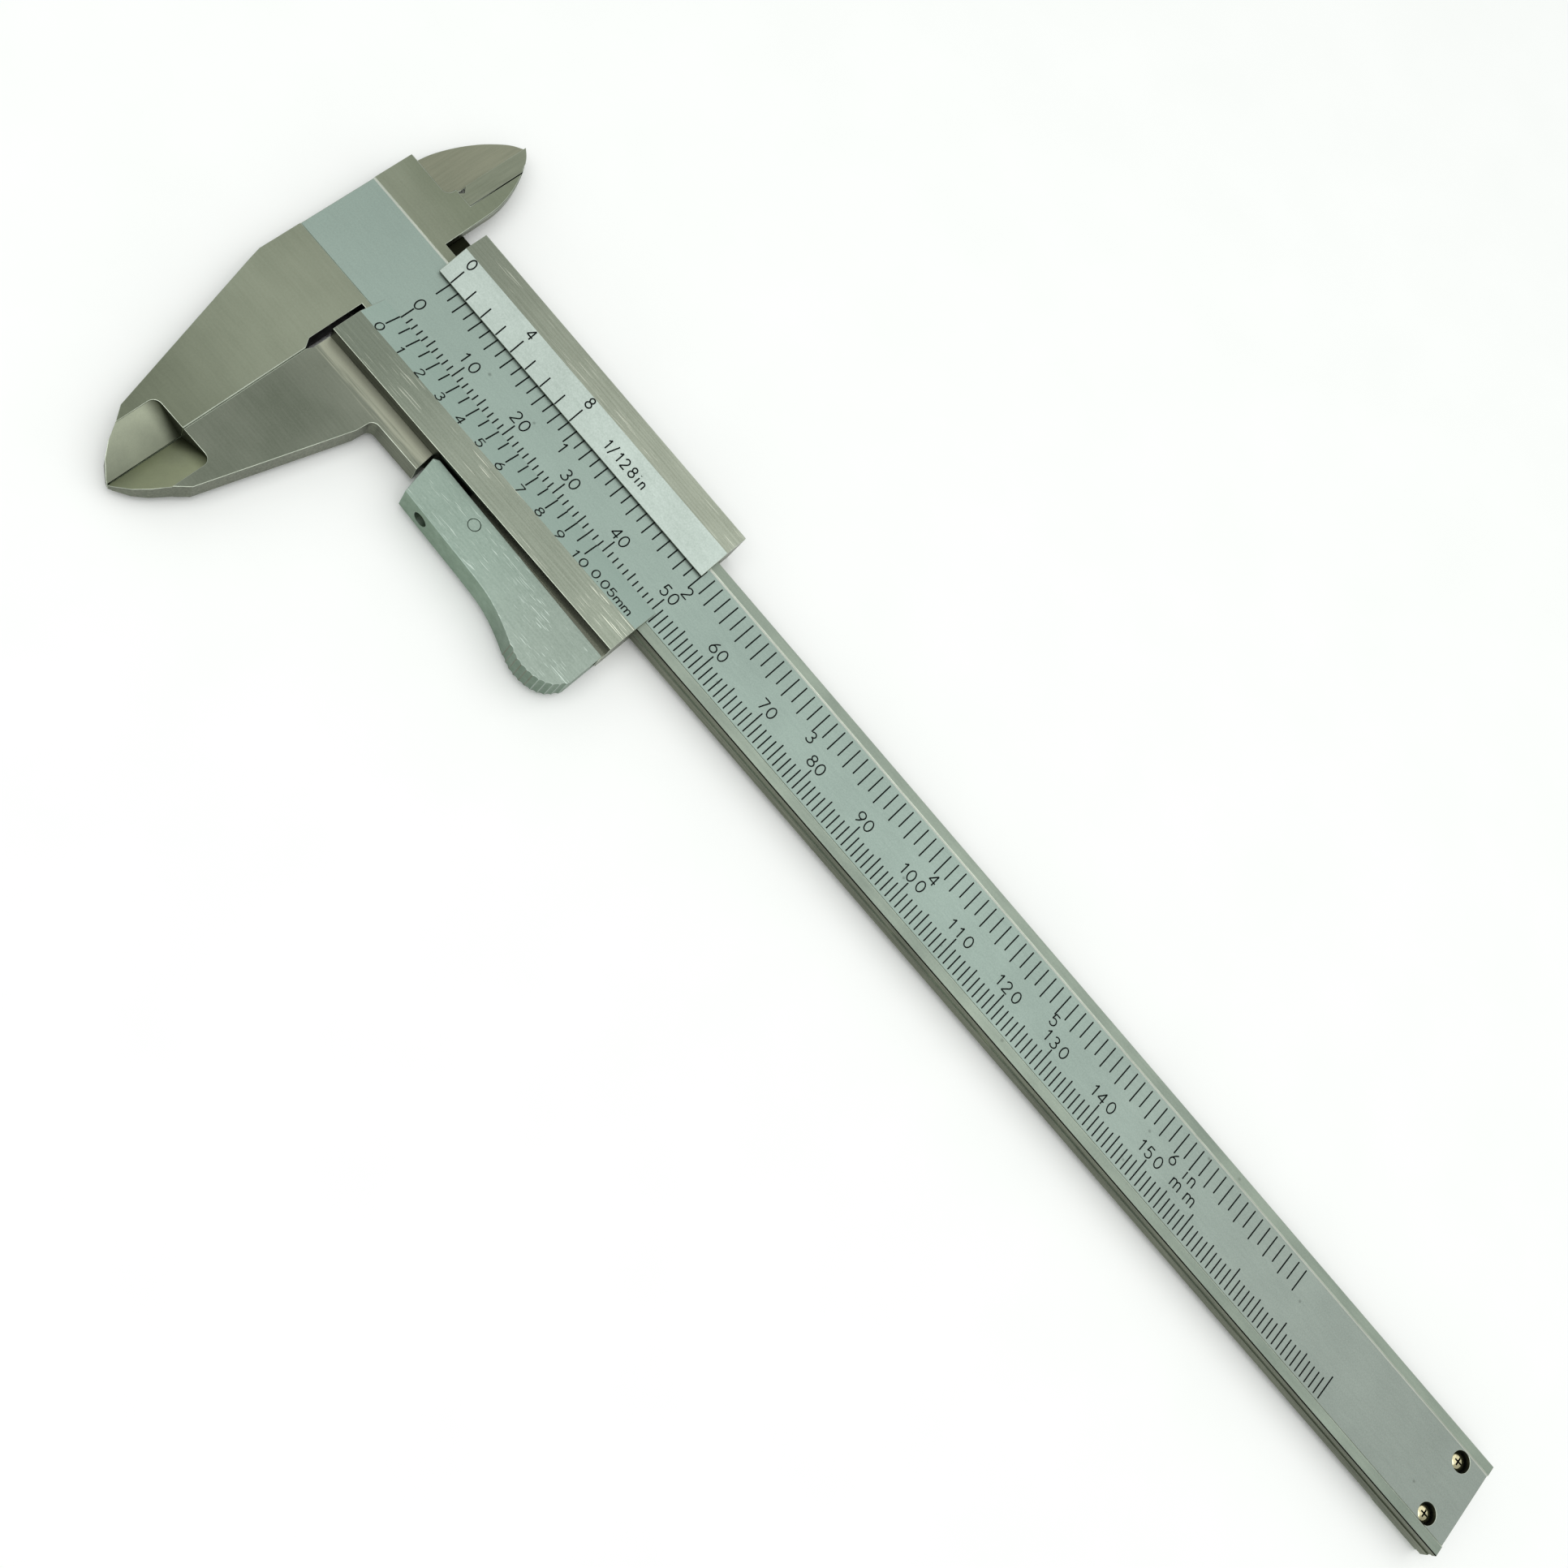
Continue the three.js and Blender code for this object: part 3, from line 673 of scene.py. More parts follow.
@dataclass
class Bench:
    """The workbench: the frame, the zero mark's place in it, and the finishes."""

    frame: dict[str, Any]
    zero: Vector
    finishes: dict[Dress, bpy.types.Material]

    @classmethod
    def set_up(cls, frame: dict[str, Any], head_low: Point) -> Bench:
        """Finds the zero mark from the beam's own lowest corner.

        Args:
            head_low: The beam's lowest corner in the maker's frame, in mm.

        Returns:
            The bench with all its finishes made.
        """
        low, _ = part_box("main_beam")
        zero = low - Vector(head_low) * MM
        made = {dress: finish.make(dress, zero) for dress, finish in FINISHES.items()}
        return cls(frame, zero, made)

    def at(self, x: float, y: float, z: float) -> Vector:
        """A point of the maker's frame, in metres in the row frame."""
        return self.zero + Vector((x, y, z)) * MM

    def local(self, point: Vector) -> Vector:
        """A point of the row frame, in millimetres in the maker's frame."""
        return (point - self.zero) / MM

    def copy_of(self, node: str, name: str) -> bpy.types.Object:
        """Copies a CAD node's mesh, merged and with its flat faces made whole.

        Args:
            node: The CAD node.
            name: The new piece's name.

        Returns:
            The new mesh object.
        """
        piece = bpy.data.objects.new(name, self.frame["nodes"][node].data.copy())
        bpy.context.scene.collection.objects.link(piece)
        piece.data.materials.clear()
        with editing(piece):
            bpy.ops.mesh.select_all(action="SELECT")
            bpy.ops.mesh.customdata_custom_splitnormals_clear()
            bpy.ops.mesh.remove_doubles(threshold=MERGE)
            bpy.ops.mesh.dissolve_limited(angle_limit=math.radians(0.3))
        return piece

    def block(self, name: str, low: Point, high: Point) -> bpy.types.Object:
        """Starts a piece as a block between two corners in the maker's frame."""
        middle = [(a + b) / 2 for a, b in zip(low, high)]
        bpy.ops.mesh.primitive_cube_add(size=1, location=self.at(*middle))
        piece = bpy.context.active_object
        piece.name = name
        piece.scale = [(b - a) * MM for a, b in zip(low, high)]
        settle(piece)
        return piece

    def turned(
        self, name: str, profile: Sequence[Flat], base: Point, along_y: bool = False, steps: int = 40
    ) -> bpy.types.Object:
        """Turns a piece on the lathe.

        Args:
            name: The piece's name.
            profile: Radius and height of the outline from end to end, in mm.
            base: Where height zero lies, in the maker's frame.
            along_y: Whether the axis points along Y and not Z.
            steps: Facets round the axis.

        Returns:
            The turned mesh object.
        """
        bpy.ops.mesh.primitive_plane_add(size=MM)
        piece = bpy.context.active_object
        piece.name = name
        with editing(piece, "VERT"):
            bpy.ops.mesh.select_all(action="SELECT")
            bpy.ops.mesh.merge(type="CENTER")
            bpy.ops.transform.translate(value=(profile[0][0] * MM, 0, profile[0][1] * MM))
            for (r0, h0), (r1, h1) in zip(profile, profile[1:]):
                bpy.ops.mesh.extrude_region_move(
                    TRANSFORM_OT_translate={"value": ((r1 - r0) * MM, 0, (h1 - h0) * MM)})
            bpy.ops.mesh.select_all(action="SELECT")
            bpy.ops.mesh.spin(steps=steps, angle=2 * math.pi, center=(0, 0, 0), axis=(0, 0, 1))
            bpy.ops.mesh.select_all(action="SELECT")
            bpy.ops.mesh.remove_doubles(threshold=MERGE)
            bpy.ops.mesh.normals_make_consistent(inside=False)
        turn = Matrix.Rotation(-math.pi / 2, 4, "X") if along_y else Matrix.Identity(4)
        piece.matrix_world = Matrix.Translation(self.at(*base)) @ turn
        settle(piece)
        return piece

    def round_edges(
        self,
        piece: bpy.types.Object,
        width: float,
        wanted: EdgeRule | None = None,
        segments: int = 2,
        min_angle: float = 25.0,
        slot: int = -1,
    ) -> None:
        """Breaks the sharp outer edges of a piece.

        Args:
            piece: The mesh object.
            width: Width of the broken edge, in mm.
            wanted: Rule on an edge's middle, in mm in the maker's frame, and its direction. None takes all.
            segments: Faces across the broken edge.
            min_angle: Edges flatter than this stay, in degrees.
            slot: Material slot of the new faces, or -1 to keep the neighbour's.
        """
        with editing(piece, "EDGE") as mesh:
            def sharp(edge: bmesh.types.BMEdge) -> bool:
                """Whether an edge is an outer edge that the rule wants."""
                if len(edge.link_faces) != 2 or not edge.is_convex:
                    return False
                if edge.calc_face_angle(0.0) < math.radians(min_angle):
                    return False
                low, high = (vert.co for vert in edge.verts)
                return wanted is None or wanted(self.local((low + high) / 2), (high - low).normalized())

            if pick(mesh.edges, sharp):
                bpy.ops.mesh.bevel(
                    offset=width * MM, segments=segments, affect="EDGES", clamp_overlap=False, material=slot)

    def break_jaw_edges(
        self, piece: bpy.types.Object, shade_width: float, shade_rule: EdgeRule, top: float, slots: dict[Dress, int]
    ) -> None:
        """Lines a jaw's edges with painted shade and gives the upper edge of its measuring face a painted
        highlight.

        Args:
            piece: The bar that carries the jaw.
            shade_width: Width of the painted shade lines, in mm.
            shade_rule: Rule for the edges beside the knife edge that get painted shade.
            top: Height of the jaw's upper face, in mm.
            slots: The material slot of each finish.
        """
        def knife_edge(spot: Vector, way: Vector) -> bool:
            """The knife edges' line of contact, and the other edges that get painted shade."""
            return shade_rule(spot, way) or (spot.y < KNIFE_Y and abs(spot.x - JAW_X) < NEAR)

        def measuring_edge(spot: Vector, way: Vector) -> bool:
            """The edge that gets a painted highlight along its whole length."""
            return abs(spot.x - JAW_X) < NEAR and abs(spot.z - top) < NEAR and abs(way.y) > FLAT_SHARE

        # painted shade along the knife edges' contact line and the other shaded edges
        self.round_edges(
            piece, shade_width, knife_edge, segments=1, min_angle=10.0, slot=slots[Dress.CREASE])
        # a painted highlight along the measuring face's upper edge
        self.round_edges(piece, BRIGHT_LINE, measuring_edge, segments=1, slot=slots[Dress.BRIGHT_EDGE])

    def dress(self, piece: bpy.types.Object, rule: FaceRule, *spare: Dress) -> dict[Dress, int]:
        """Gives each face its finish by its place and the way it faces.

        Args:
            piece: The mesh object.
            rule: Rule on a face's middle, in mm in the maker's frame, and its normal.
            *spare: Finishes that later faces will need.

        Returns:
            The material slot of each finish.
        """
        slots: dict[Dress, int] = {}
        for dress in spare:
            self._slot_of(piece, slots, dress)
        for polygon in piece.data.polygons:
            dress = rule(self.local(polygon.center), polygon.normal)
            polygon.material_index = self._slot_of(piece, slots, dress)
        return slots

    def _slot_of(self, piece: bpy.types.Object, slots: dict[Dress, int], dress: Dress) -> int:
        """The slot that holds a finish on a piece, made when it is first asked for."""
        if dress not in slots:
            slots[dress] = len(piece.data.materials)
            piece.data.materials.append(self.finishes[dress])
        return slots[dress]

    def hand_over(
        self, piece: bpy.types.Object, body: Body, slot: Slot, *nodes: str, smooth: float = 35.0
    ) -> None:
        """Shades a finished piece and fixes it to its CAD body.

        Args:
            piece: The finished mesh object.
            body: The body that it rides on.
            slot: The record's material slot; not used.
            *nodes: CAD nodes that it stands for.
            smooth: Edges sharper than this stay crisp, in degrees.
        """
        settle(piece)
        bpy.ops.object.shade_smooth_by_angle(angle=math.radians(smooth))
        apply_modifier(piece, "WEIGHTED_NORMAL", keep_sharp=True)
        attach(piece, body.value)
        if nodes:
            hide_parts(*nodes)
        log.info("%s rides on %s with %d faces", piece.name, body.value, len(piece.data.polygons))

    def finish_off(
        self, piece: bpy.types.Object, dress: Dress, body: Body, slot: Slot, *nodes: str, smooth: float = 35.0
    ) -> None:
        """Gives a piece one finish all over and hands it over."""
        self.dress(piece, lambda *_: dress)
        self.hand_over(piece, body, slot, *nodes, smooth=smooth)


def thread_profile(core: float, crest: float, low: float, high: float, pitch: float) -> list[Flat]:
    """Outline of a threaded length, as rings of a saw-tooth.

    Args:
        core: Radius at the root.
        crest: Radius at the top of the thread.
        low: Height where it starts.
        high: Height where it ends.
        pitch: Distance between two crests.

    Returns:
        Radius and height of each corner, in mm.
    """
    turns = max(1, int((high - low) / pitch))
    step = (high - low) / turns
    run = [(core, low)]
    for i in range(turns):
        run += [(crest, low + (i + 0.5) * step), (core, low + (i + 1) * step)]
    return run


def chamfered(r: float, span: Flat, low_cut: float, top_cut: float) -> list[Flat]:
    """Outline of a round bar with both ends chamfered, in mm."""
    low, top = span
    lower = [(0, low), (r - low_cut, low), (r, low + low_cut)]
    return [*lower, (r, top - top_cut), (r - top_cut, top), (0, top)]


# ---------------------------------------------------------------- engraved marks and numbers


@dataclass(frozen=True)
class MarkRow:
    """A row of equal graduation marks, in clusters that repeat."""

    first: float
    pitch: float
    count: int
    low: float
    high: float
    cluster: int = 1
    cluster_pitch: float = 1.0


@dataclass(frozen=True)
class Words:
    """Digits or a unit, set between two places on a flat face."""

    text: str
    left: float
    right: float
    base: float
    height: float


def arc(cx: float, cy: float, rx: float, ry: float, start: float, end: float, count: int = 8) -> list[Flat]:
    """Points along part of an ellipse, with angles in degrees."""
    angles = [math.radians(start + (end - start) * i / count) for i in range(count + 1)]
    return [(cx + rx * math.cos(a), cy + ry * math.sin(a)) for a in angles]


# Single-stroke glyphs of the engraving machine: width, then strokes, for a height of one.
GLYPHS: dict[str, tuple[float, list[list[Flat]]]] = {
    "0": (0.62, [arc(0.31, 0.5, 0.31, 0.5, 90, 450, 20)]),
    "1": (0.24, [[(0.0, 0.76), (0.13, 0.86), (0.24, 1.0)], [(0.24, 1.0), (0.24, 0.0)]]),
    "2": (0.6, [arc(0.3, 0.72, 0.27, 0.28, 165, -35, 9) + [(0.36, 0.38), (0.02, 0.0)],
                [(0.02, 0.0), (0.6, 0.0)]]),
    "3": (0.6, [arc(0.29, 0.77, 0.25, 0.23, 150, -90, 9), arc(0.29, 0.27, 0.3, 0.27, 90, -155, 10)]),
    "4": (0.66, [[(0.5, 0.0), (0.5, 1.0)], [(0.5, 1.0), (0.0, 0.29)], [(0.0, 0.29), (0.66, 0.29)]]),
    "5": (0.6, [[(0.55, 1.0), (0.12, 1.0)], [(0.12, 1.0), (0.06, 0.53)],
                [(0.06, 0.53)] + arc(0.29, 0.32, 0.3, 0.32, 128, -150, 11)]),
    "6": (0.6, [[(0.47, 1.0), (0.25, 0.78), (0.09, 0.52)] + arc(0.3, 0.3, 0.3, 0.3, 160, 520, 16)]),
    "7": (0.58, [[(0.0, 1.0), (0.58, 1.0)], [(0.58, 1.0), (0.2, 0.0)]]),
    "8": (0.6, [arc(0.3, 0.77, 0.24, 0.23, -90, 270, 16), arc(0.3, 0.27, 0.3, 0.27, 90, 450, 16)]),
    "9": (0.6, [[(0.13, 0.0), (0.35, 0.22), (0.51, 0.48)] + arc(0.3, 0.7, 0.3, 0.3, -20, 340, 16)]),
    ".": (0.06, [[(0.0, 0.02), (0.06, 0.02)]]),
    "/": (0.42, [[(0.0, -0.12), (0.42, 1.12)]]),
    "i": (0.02, [[(0.01, 0.0), (0.01, 0.64)], [(0.01, 0.86), (0.01, 0.93)]]),
    "n": (0.4, [[(0.0, 0.0), (0.0, 0.64)], arc(0.2, 0.42, 0.2, 0.22, 180, 0, 8) + [(0.4, 0.0)]]),
    "m": (0.76, [[(0.0, 0.0), (0.0, 0.64)], arc(0.19, 0.44, 0.19, 0.2, 180, 0, 8) + [(0.38, 0.0)],
                 arc(0.57, 0.44, 0.19, 0.2, 180, 0, 8) + [(0.76, 0.0)]]),
}


@dataclass
class EngravedFace:
    """A flat face with painted engraving: what carries it, where it lies, how it tilts, and its line."""

    bench: Bench
    body: Body
    slot: Slot
    origin: Point = (0, 0, 0)
    tilt: float = 0.0  # turn about X, in degrees
    line: float = 0.21
    proud: float = 0.015  # the marks' paint stands this little above the metal
    crown: float = 0.05  # the numbers' paint is a little thicker
    sunk: float = 0.05

    def marks(self, name: str, rows: Sequence[MarkRow]) -> None:
        """Cuts rows of marks, each modelled once and repeated, as one piece.

        Args:
            name: The piece's name.
            rows: The rows.
        """
        strips = []
        for row in rows:
            middle = (row.first * MM, (row.low + row.high) / 2 * MM, (self.proud - self.sunk) / 2 * MM)
            bpy.ops.mesh.primitive_cube_add(size=1, location=middle)
            strip = bpy.context.active_object
            strip.scale = (self.line * MM, (row.high - row.low) * MM, (self.proud + self.sunk) * MM)
            settle(strip)
            self.bench.round_edges(strip, self.line * 0.3, lambda _, way: abs(way.z) > FLAT_SHARE)
            for count, pitch in ((row.cluster, row.cluster_pitch), (row.count, row.pitch)):
                if count > 1:
                    apply_modifier(
                        strip, "ARRAY", count=count, use_relative_offset=False,
                        use_constant_offset=True, constant_offset_displace=(pitch * MM, 0, 0))
            strips.append(strip)
        select_only(*strips)
        bpy.ops.object.join()
        piece = bpy.context.active_object
        piece.name = name
        self._lay(piece)

    def numbers(self, name: str, words: Sequence[Words]) -> None:
        """Cuts numbers and units with a single round-ended stroke, as one piece.

        Args:
            name: The piece's name.
            words: What to cut, and where.
        """
        strokes = [stroke for word in words for stroke in self._strokes(word)]
        runs = [[Vector((x, y, 0)) * MM for x, y in stroke] for stroke in strokes]
        piece = swept(name, runs, self.line / 2, 1)
        piece.scale = (1, 1, self.crown / (self.line / 2))
        settle(piece)
        self._lay(piece)

    def _lay(self, piece: bpy.types.Object) -> None:
        """Lays a piece made flat at the world's origin on the face, painted, and hands it over."""
        lift = Matrix.Translation(self.bench.at(*self.origin))
        piece.matrix_world = lift @ Matrix.Rotation(math.radians(self.tilt), 4, "X")
        settle(piece)
        self.bench.finish_off(piece, Dress.PAINT, self.body, self.slot)

    @staticmethod
    def _strokes(word: Words) -> list[list[Flat]]:
        """Lays a word's strokes out between its two ends, in mm on the face."""
        widths = [GLYPHS[letter][0] * word.height for letter in word.text]
        gaps = len(word.text) - 1
        spare = (word.right - word.left - sum(widths)) / gaps if gaps else 0.0
        x = word.left if gaps else (word.left + word.right - widths[0]) / 2
        laid = []
        for letter, width in zip(word.text, widths):
            for stroke in GLYPHS[letter][1]:
                laid.append([(x + a * word.height, word.base + b * word.height) for a, b in stroke])
            x += width + spare
        return laid


# ---------------------------------------------------------------- beam


@dataclass
class Beam:
    """The beam with the fixed jaws, its scales, its end plate and the two end screws."""

    bench: Bench
    face: float = 0.2
    low_y: float = -2.15
    bed_y: Flat = (-1.0, 13.0)
    slope_y: float = 12.0  # past this the bed's slope is the upper one
    slope_rise: Flat = (0.5, FLAT_SHARE)
    flank_y: float = -31.0
    flank_rise: Flat = (0.3, 0.999)
    bevel_y: float = 19.0
    bevel_rise: Flat = (0.3, 0.98)
    lapped_to: float = 40.0
    relief_x: Flat = (-4.5, -2.9)
    relief_y: Flat = (-12.0, -1.0)
    side_groove_z: Flat = (-1.7, -0.5)
    blade_y: float = 17.6
    edge: float = 0.06
    crease: float = 0.13
    mark_end: float = 190.0
    numbers_to: int = 15
    number_base: float = 4.2
    number_height: float = 1.75
    unit_height: float = 2.05
    inch_base: float = 6.4
    half_width: Point = (0.55, 1.33, 2.1)  # of one, two and three digits
    screw_x: float = 212.75
    screw_y: Flat = (1.2, 10.55)
    hole_reach: float = 1.6
    head_r: float = 1.32
    head_low: float = -1.85
    head_top: float = -0.62
    cross: Flat = (0.85, 0.19)  # half length and half width of the recess's arms
    cross_taper: float = 0.45
    shank_r: float = 0.8
    shank_low: float = -4.4
    plate_x: Flat = (206.2, 217.2)
    plate_y: Flat = (-1.55, 13.25)
    plate_z: Flat = (-4.6, -3.1)
    plate_corner: float = 1.2

    def build(self) -> None:
        """Makes every piece of the beam."""
        self._bar()
        self._scales()
        self._end_plate()
        for node, y in zip(("end_screw_lower", "end_screw_upper"), self.screw_y):
            self._end_screw(node, y)

    def _face_rule(self, middle: Vector, normal: Vector) -> Dress:
        """Chrome on the scale's bed, a painted highlight on the slope above it, painted shade in the relief
        slot and on the side walls, and ground steel elsewhere.
        """
        if abs(middle.z) < NEAR and normal.z > FLAT_SHARE and middle.y > self.bed_y[0]:
            return Dress.CHROME
        sloped = within(middle.z, (0, self.face)) and within(normal.z, self.slope_rise)
        if sloped and within(middle.y, self.bed_y):
            # a painted highlight on the bed's upper slope
            return Dress.BRIGHT_EDGE if middle.y > self.slope_y else Dress.EDGE
        if middle.y < self.flank_y and within(normal.z, self.flank_rise) and middle.z < self.face - NEAR:
            return Dress.FLANK
        if middle.y > self.bevel_y and within(normal.z, self.bevel_rise):
            return Dress.BEVEL
        if normal.z < FLAT_SHARE and self._by_end_screw(middle):
            return Dress.HOLE
        if normal.z > UP_SHARE:
            return Dress.GROUND if middle.x > self.lapped_to else Dress.LAPPED
        # painted shade on the relief slot's walls
        if within(middle.x, self.relief_x) and within(middle.y, self.relief_y):
            return Dress.CREASE
        # painted shade on the side walls
        return Dress.SIDE

    def _by_end_screw(self, spot: Vector) -> bool:
        """Whether a place lies inside the hole of an end screw."""
        return any(math.hypot(spot.x - self.screw_x, spot.y - y) < self.hole_reach for y in self.screw_y)

    def _bar(self) -> None:
        """The beam and its jaws, with their edges broken."""
        bench = self.bench
        bar = bench.copy_of("main_beam", "beam")
        slots = bench.dress(bar, self._face_rule, Dress.EDGE, Dress.CREASE, Dress.BRIGHT_EDGE)

        def lower_edge(spot: Vector, _: Vector) -> bool:
            """The long lower edge of the scale side, which gets a thin near-black line."""
            return spot.x > 0 and abs(spot.y - self.low_y) < NEAR / 2 and abs(spot.z - self.face) < NEAR / 2

        def blade_outline(spot: Vector, _: Vector) -> bool:
            """The front inside jaw's outline over the rear one."""
            return spot.y > self.blade_y and spot.z > -0.1

        def outer_edge(spot: Vector, way: Vector) -> bool:
            """Every other outer edge that is not a hairline feature."""
            crease = spot.x > 0 and spot.y < self.low_y + 0.2 and spot.z > -0.2
            groove = abs(way.x) > FLAT_SHARE and within(spot.z, self.side_groove_z) and spot.x > 0.5
            return not (crease or groove)

        bench.round_edges(bar, self.crease, lower_edge, segments=1, slot=slots[Dress.CREASE])
        bench.break_jaw_edges(bar, self.crease, blade_outline, self.face, slots)
        bench.round_edges(bar, self.edge, outer_edge, slot=slots[Dress.EDGE])
        bench.hand_over(bar, Body.BEAM, Slot.BEAM, "main_beam", smooth=CRISP)

    def _scales(self) -> None:
        """Millimetres from the lower edge, sixteenths of an inch from the upper one, and the numbers."""
        face = EngravedFace(self.bench, Body.BEAM, Slot.BEAM)
        tens = int(self.mark_end / 10)
        face.marks("beam_millimetre_marks", [
            MarkRow(1.0, 5.0, tens * 2, 0.0, 2.85, cluster=4),
            MarkRow(5.0, 10.0, tens, 0.0, 3.3),
            MarkRow(0.0, 10.0, tens + 1, 0.0, 4.01),
        ])
        face.marks("beam_inch_marks", [
            MarkRow(0.0, INCH / 8, 57, 7.88, 11.72), MarkRow(INCH / 16, INCH / 8, 56, 8.47, 11.72)])
        height, base = self.number_height, self.number_base
        words = []
        for middle in range(0, 10 * self.numbers_to + 1, 10):
            spread = self.half_width[len(str(middle)) - 1]
            words.append(Words(str(middle), middle - spread, middle + spread, base, height))
        words.append(Words("mm", 154.6, 159.0, base, self.unit_height))
        words += [Words(str(k), INCH * k, INCH * k + 1.1, self.inch_base, height) for k in range(1, 7)]
        words.append(Words("in", 155.6, 157.4, 6.3, self.unit_height))
        face.numbers("beam_numbers", words)

    def _end_plate(self) -> None:
        """The small plate behind the beam's end, with two corners cut and two tapped holes."""
        bench = self.bench
        low, high = zip(self.plate_x, self.plate_y, self.plate_z)
        plate = bench.block("end_plate", low, high)
        bench.round_edges(
            plate, self.plate_corner,
            lambda spot, way: abs(way.z) > FLAT_SHARE and spot.x < low[0] + 1, segments=1)
        for y in self.screw_y:
            outline = [(0, 0), (1.25, 0), (1.1, 0.25), (1.1, 2.0), (0, 2.0)]
            cut(plate, bench.turned("hole", outline, (self.screw_x, y, low[2] - 0.02)))
        slots = bench.dress(plate, lambda *_: Dress.GROUND, Dress.EDGE)
        bench.round_edges(plate, 0.1, slot=slots[Dress.EDGE])
        bench.hand_over(plate, Body.BEAM, Slot.GROUND, "beam_end_plate")

    def _end_screw(self, node: str, y: float) -> None:
        """A pan-head screw with a cross recess, sunk in its hole."""
        bench = self.bench
        x, r, low, top = self.screw_x, self.head_r, self.head_low, self.head_top
        shank = thread_profile(self.shank_r * 0.84, self.shank_r, self.shank_low + 0.2, low, FINE_PITCH)
        head = [(r - 0.06, low), (r, low + 0.08), (r, low + 0.42), (r * 0.93, top - 0.26),
                (r * 0.76, top - 0.1), (r * 0.45, top - 0.02), (0, top)]
        outline = [(0, self.shank_low), (self.shank_r * 0.6, self.shank_low), *shank, *head]
        screw = bench.turned(f"{node}_pan_head", outline, (x, y, 0))
        for half_x, half_y in (self.cross, self.cross[::-1]):
            arm = bench.block("recess", (x - half_x, y - half_y, top - 0.6), (x + half_x, y + half_y, 0))
            with editing(arm) as mesh:
                pick(mesh.faces, lambda face: face.normal.z < -FLAT_SHARE)
                bpy.ops.transform.resize(value=(self.cross_taper, self.cross_taper, 1))
            cut(screw, arm)

        def recessed(middle: Vector, _: Vector) -> Dress:
            """Painted shade in the cross recess, bright metal round it."""
            near = math.hypot(middle.x - x, middle.y - y) < r * 0.72
            return Dress.HOLE if near and within(middle.z, (top - 0.7, top - 0.12)) else Dress.SCREW

        bench.dress(screw, recessed)
        bench.hand_over(screw, Body.BEAM, Slot.SCREW, node, smooth=SCREW_CRISP)


# ---------------------------------------------------------------- slider


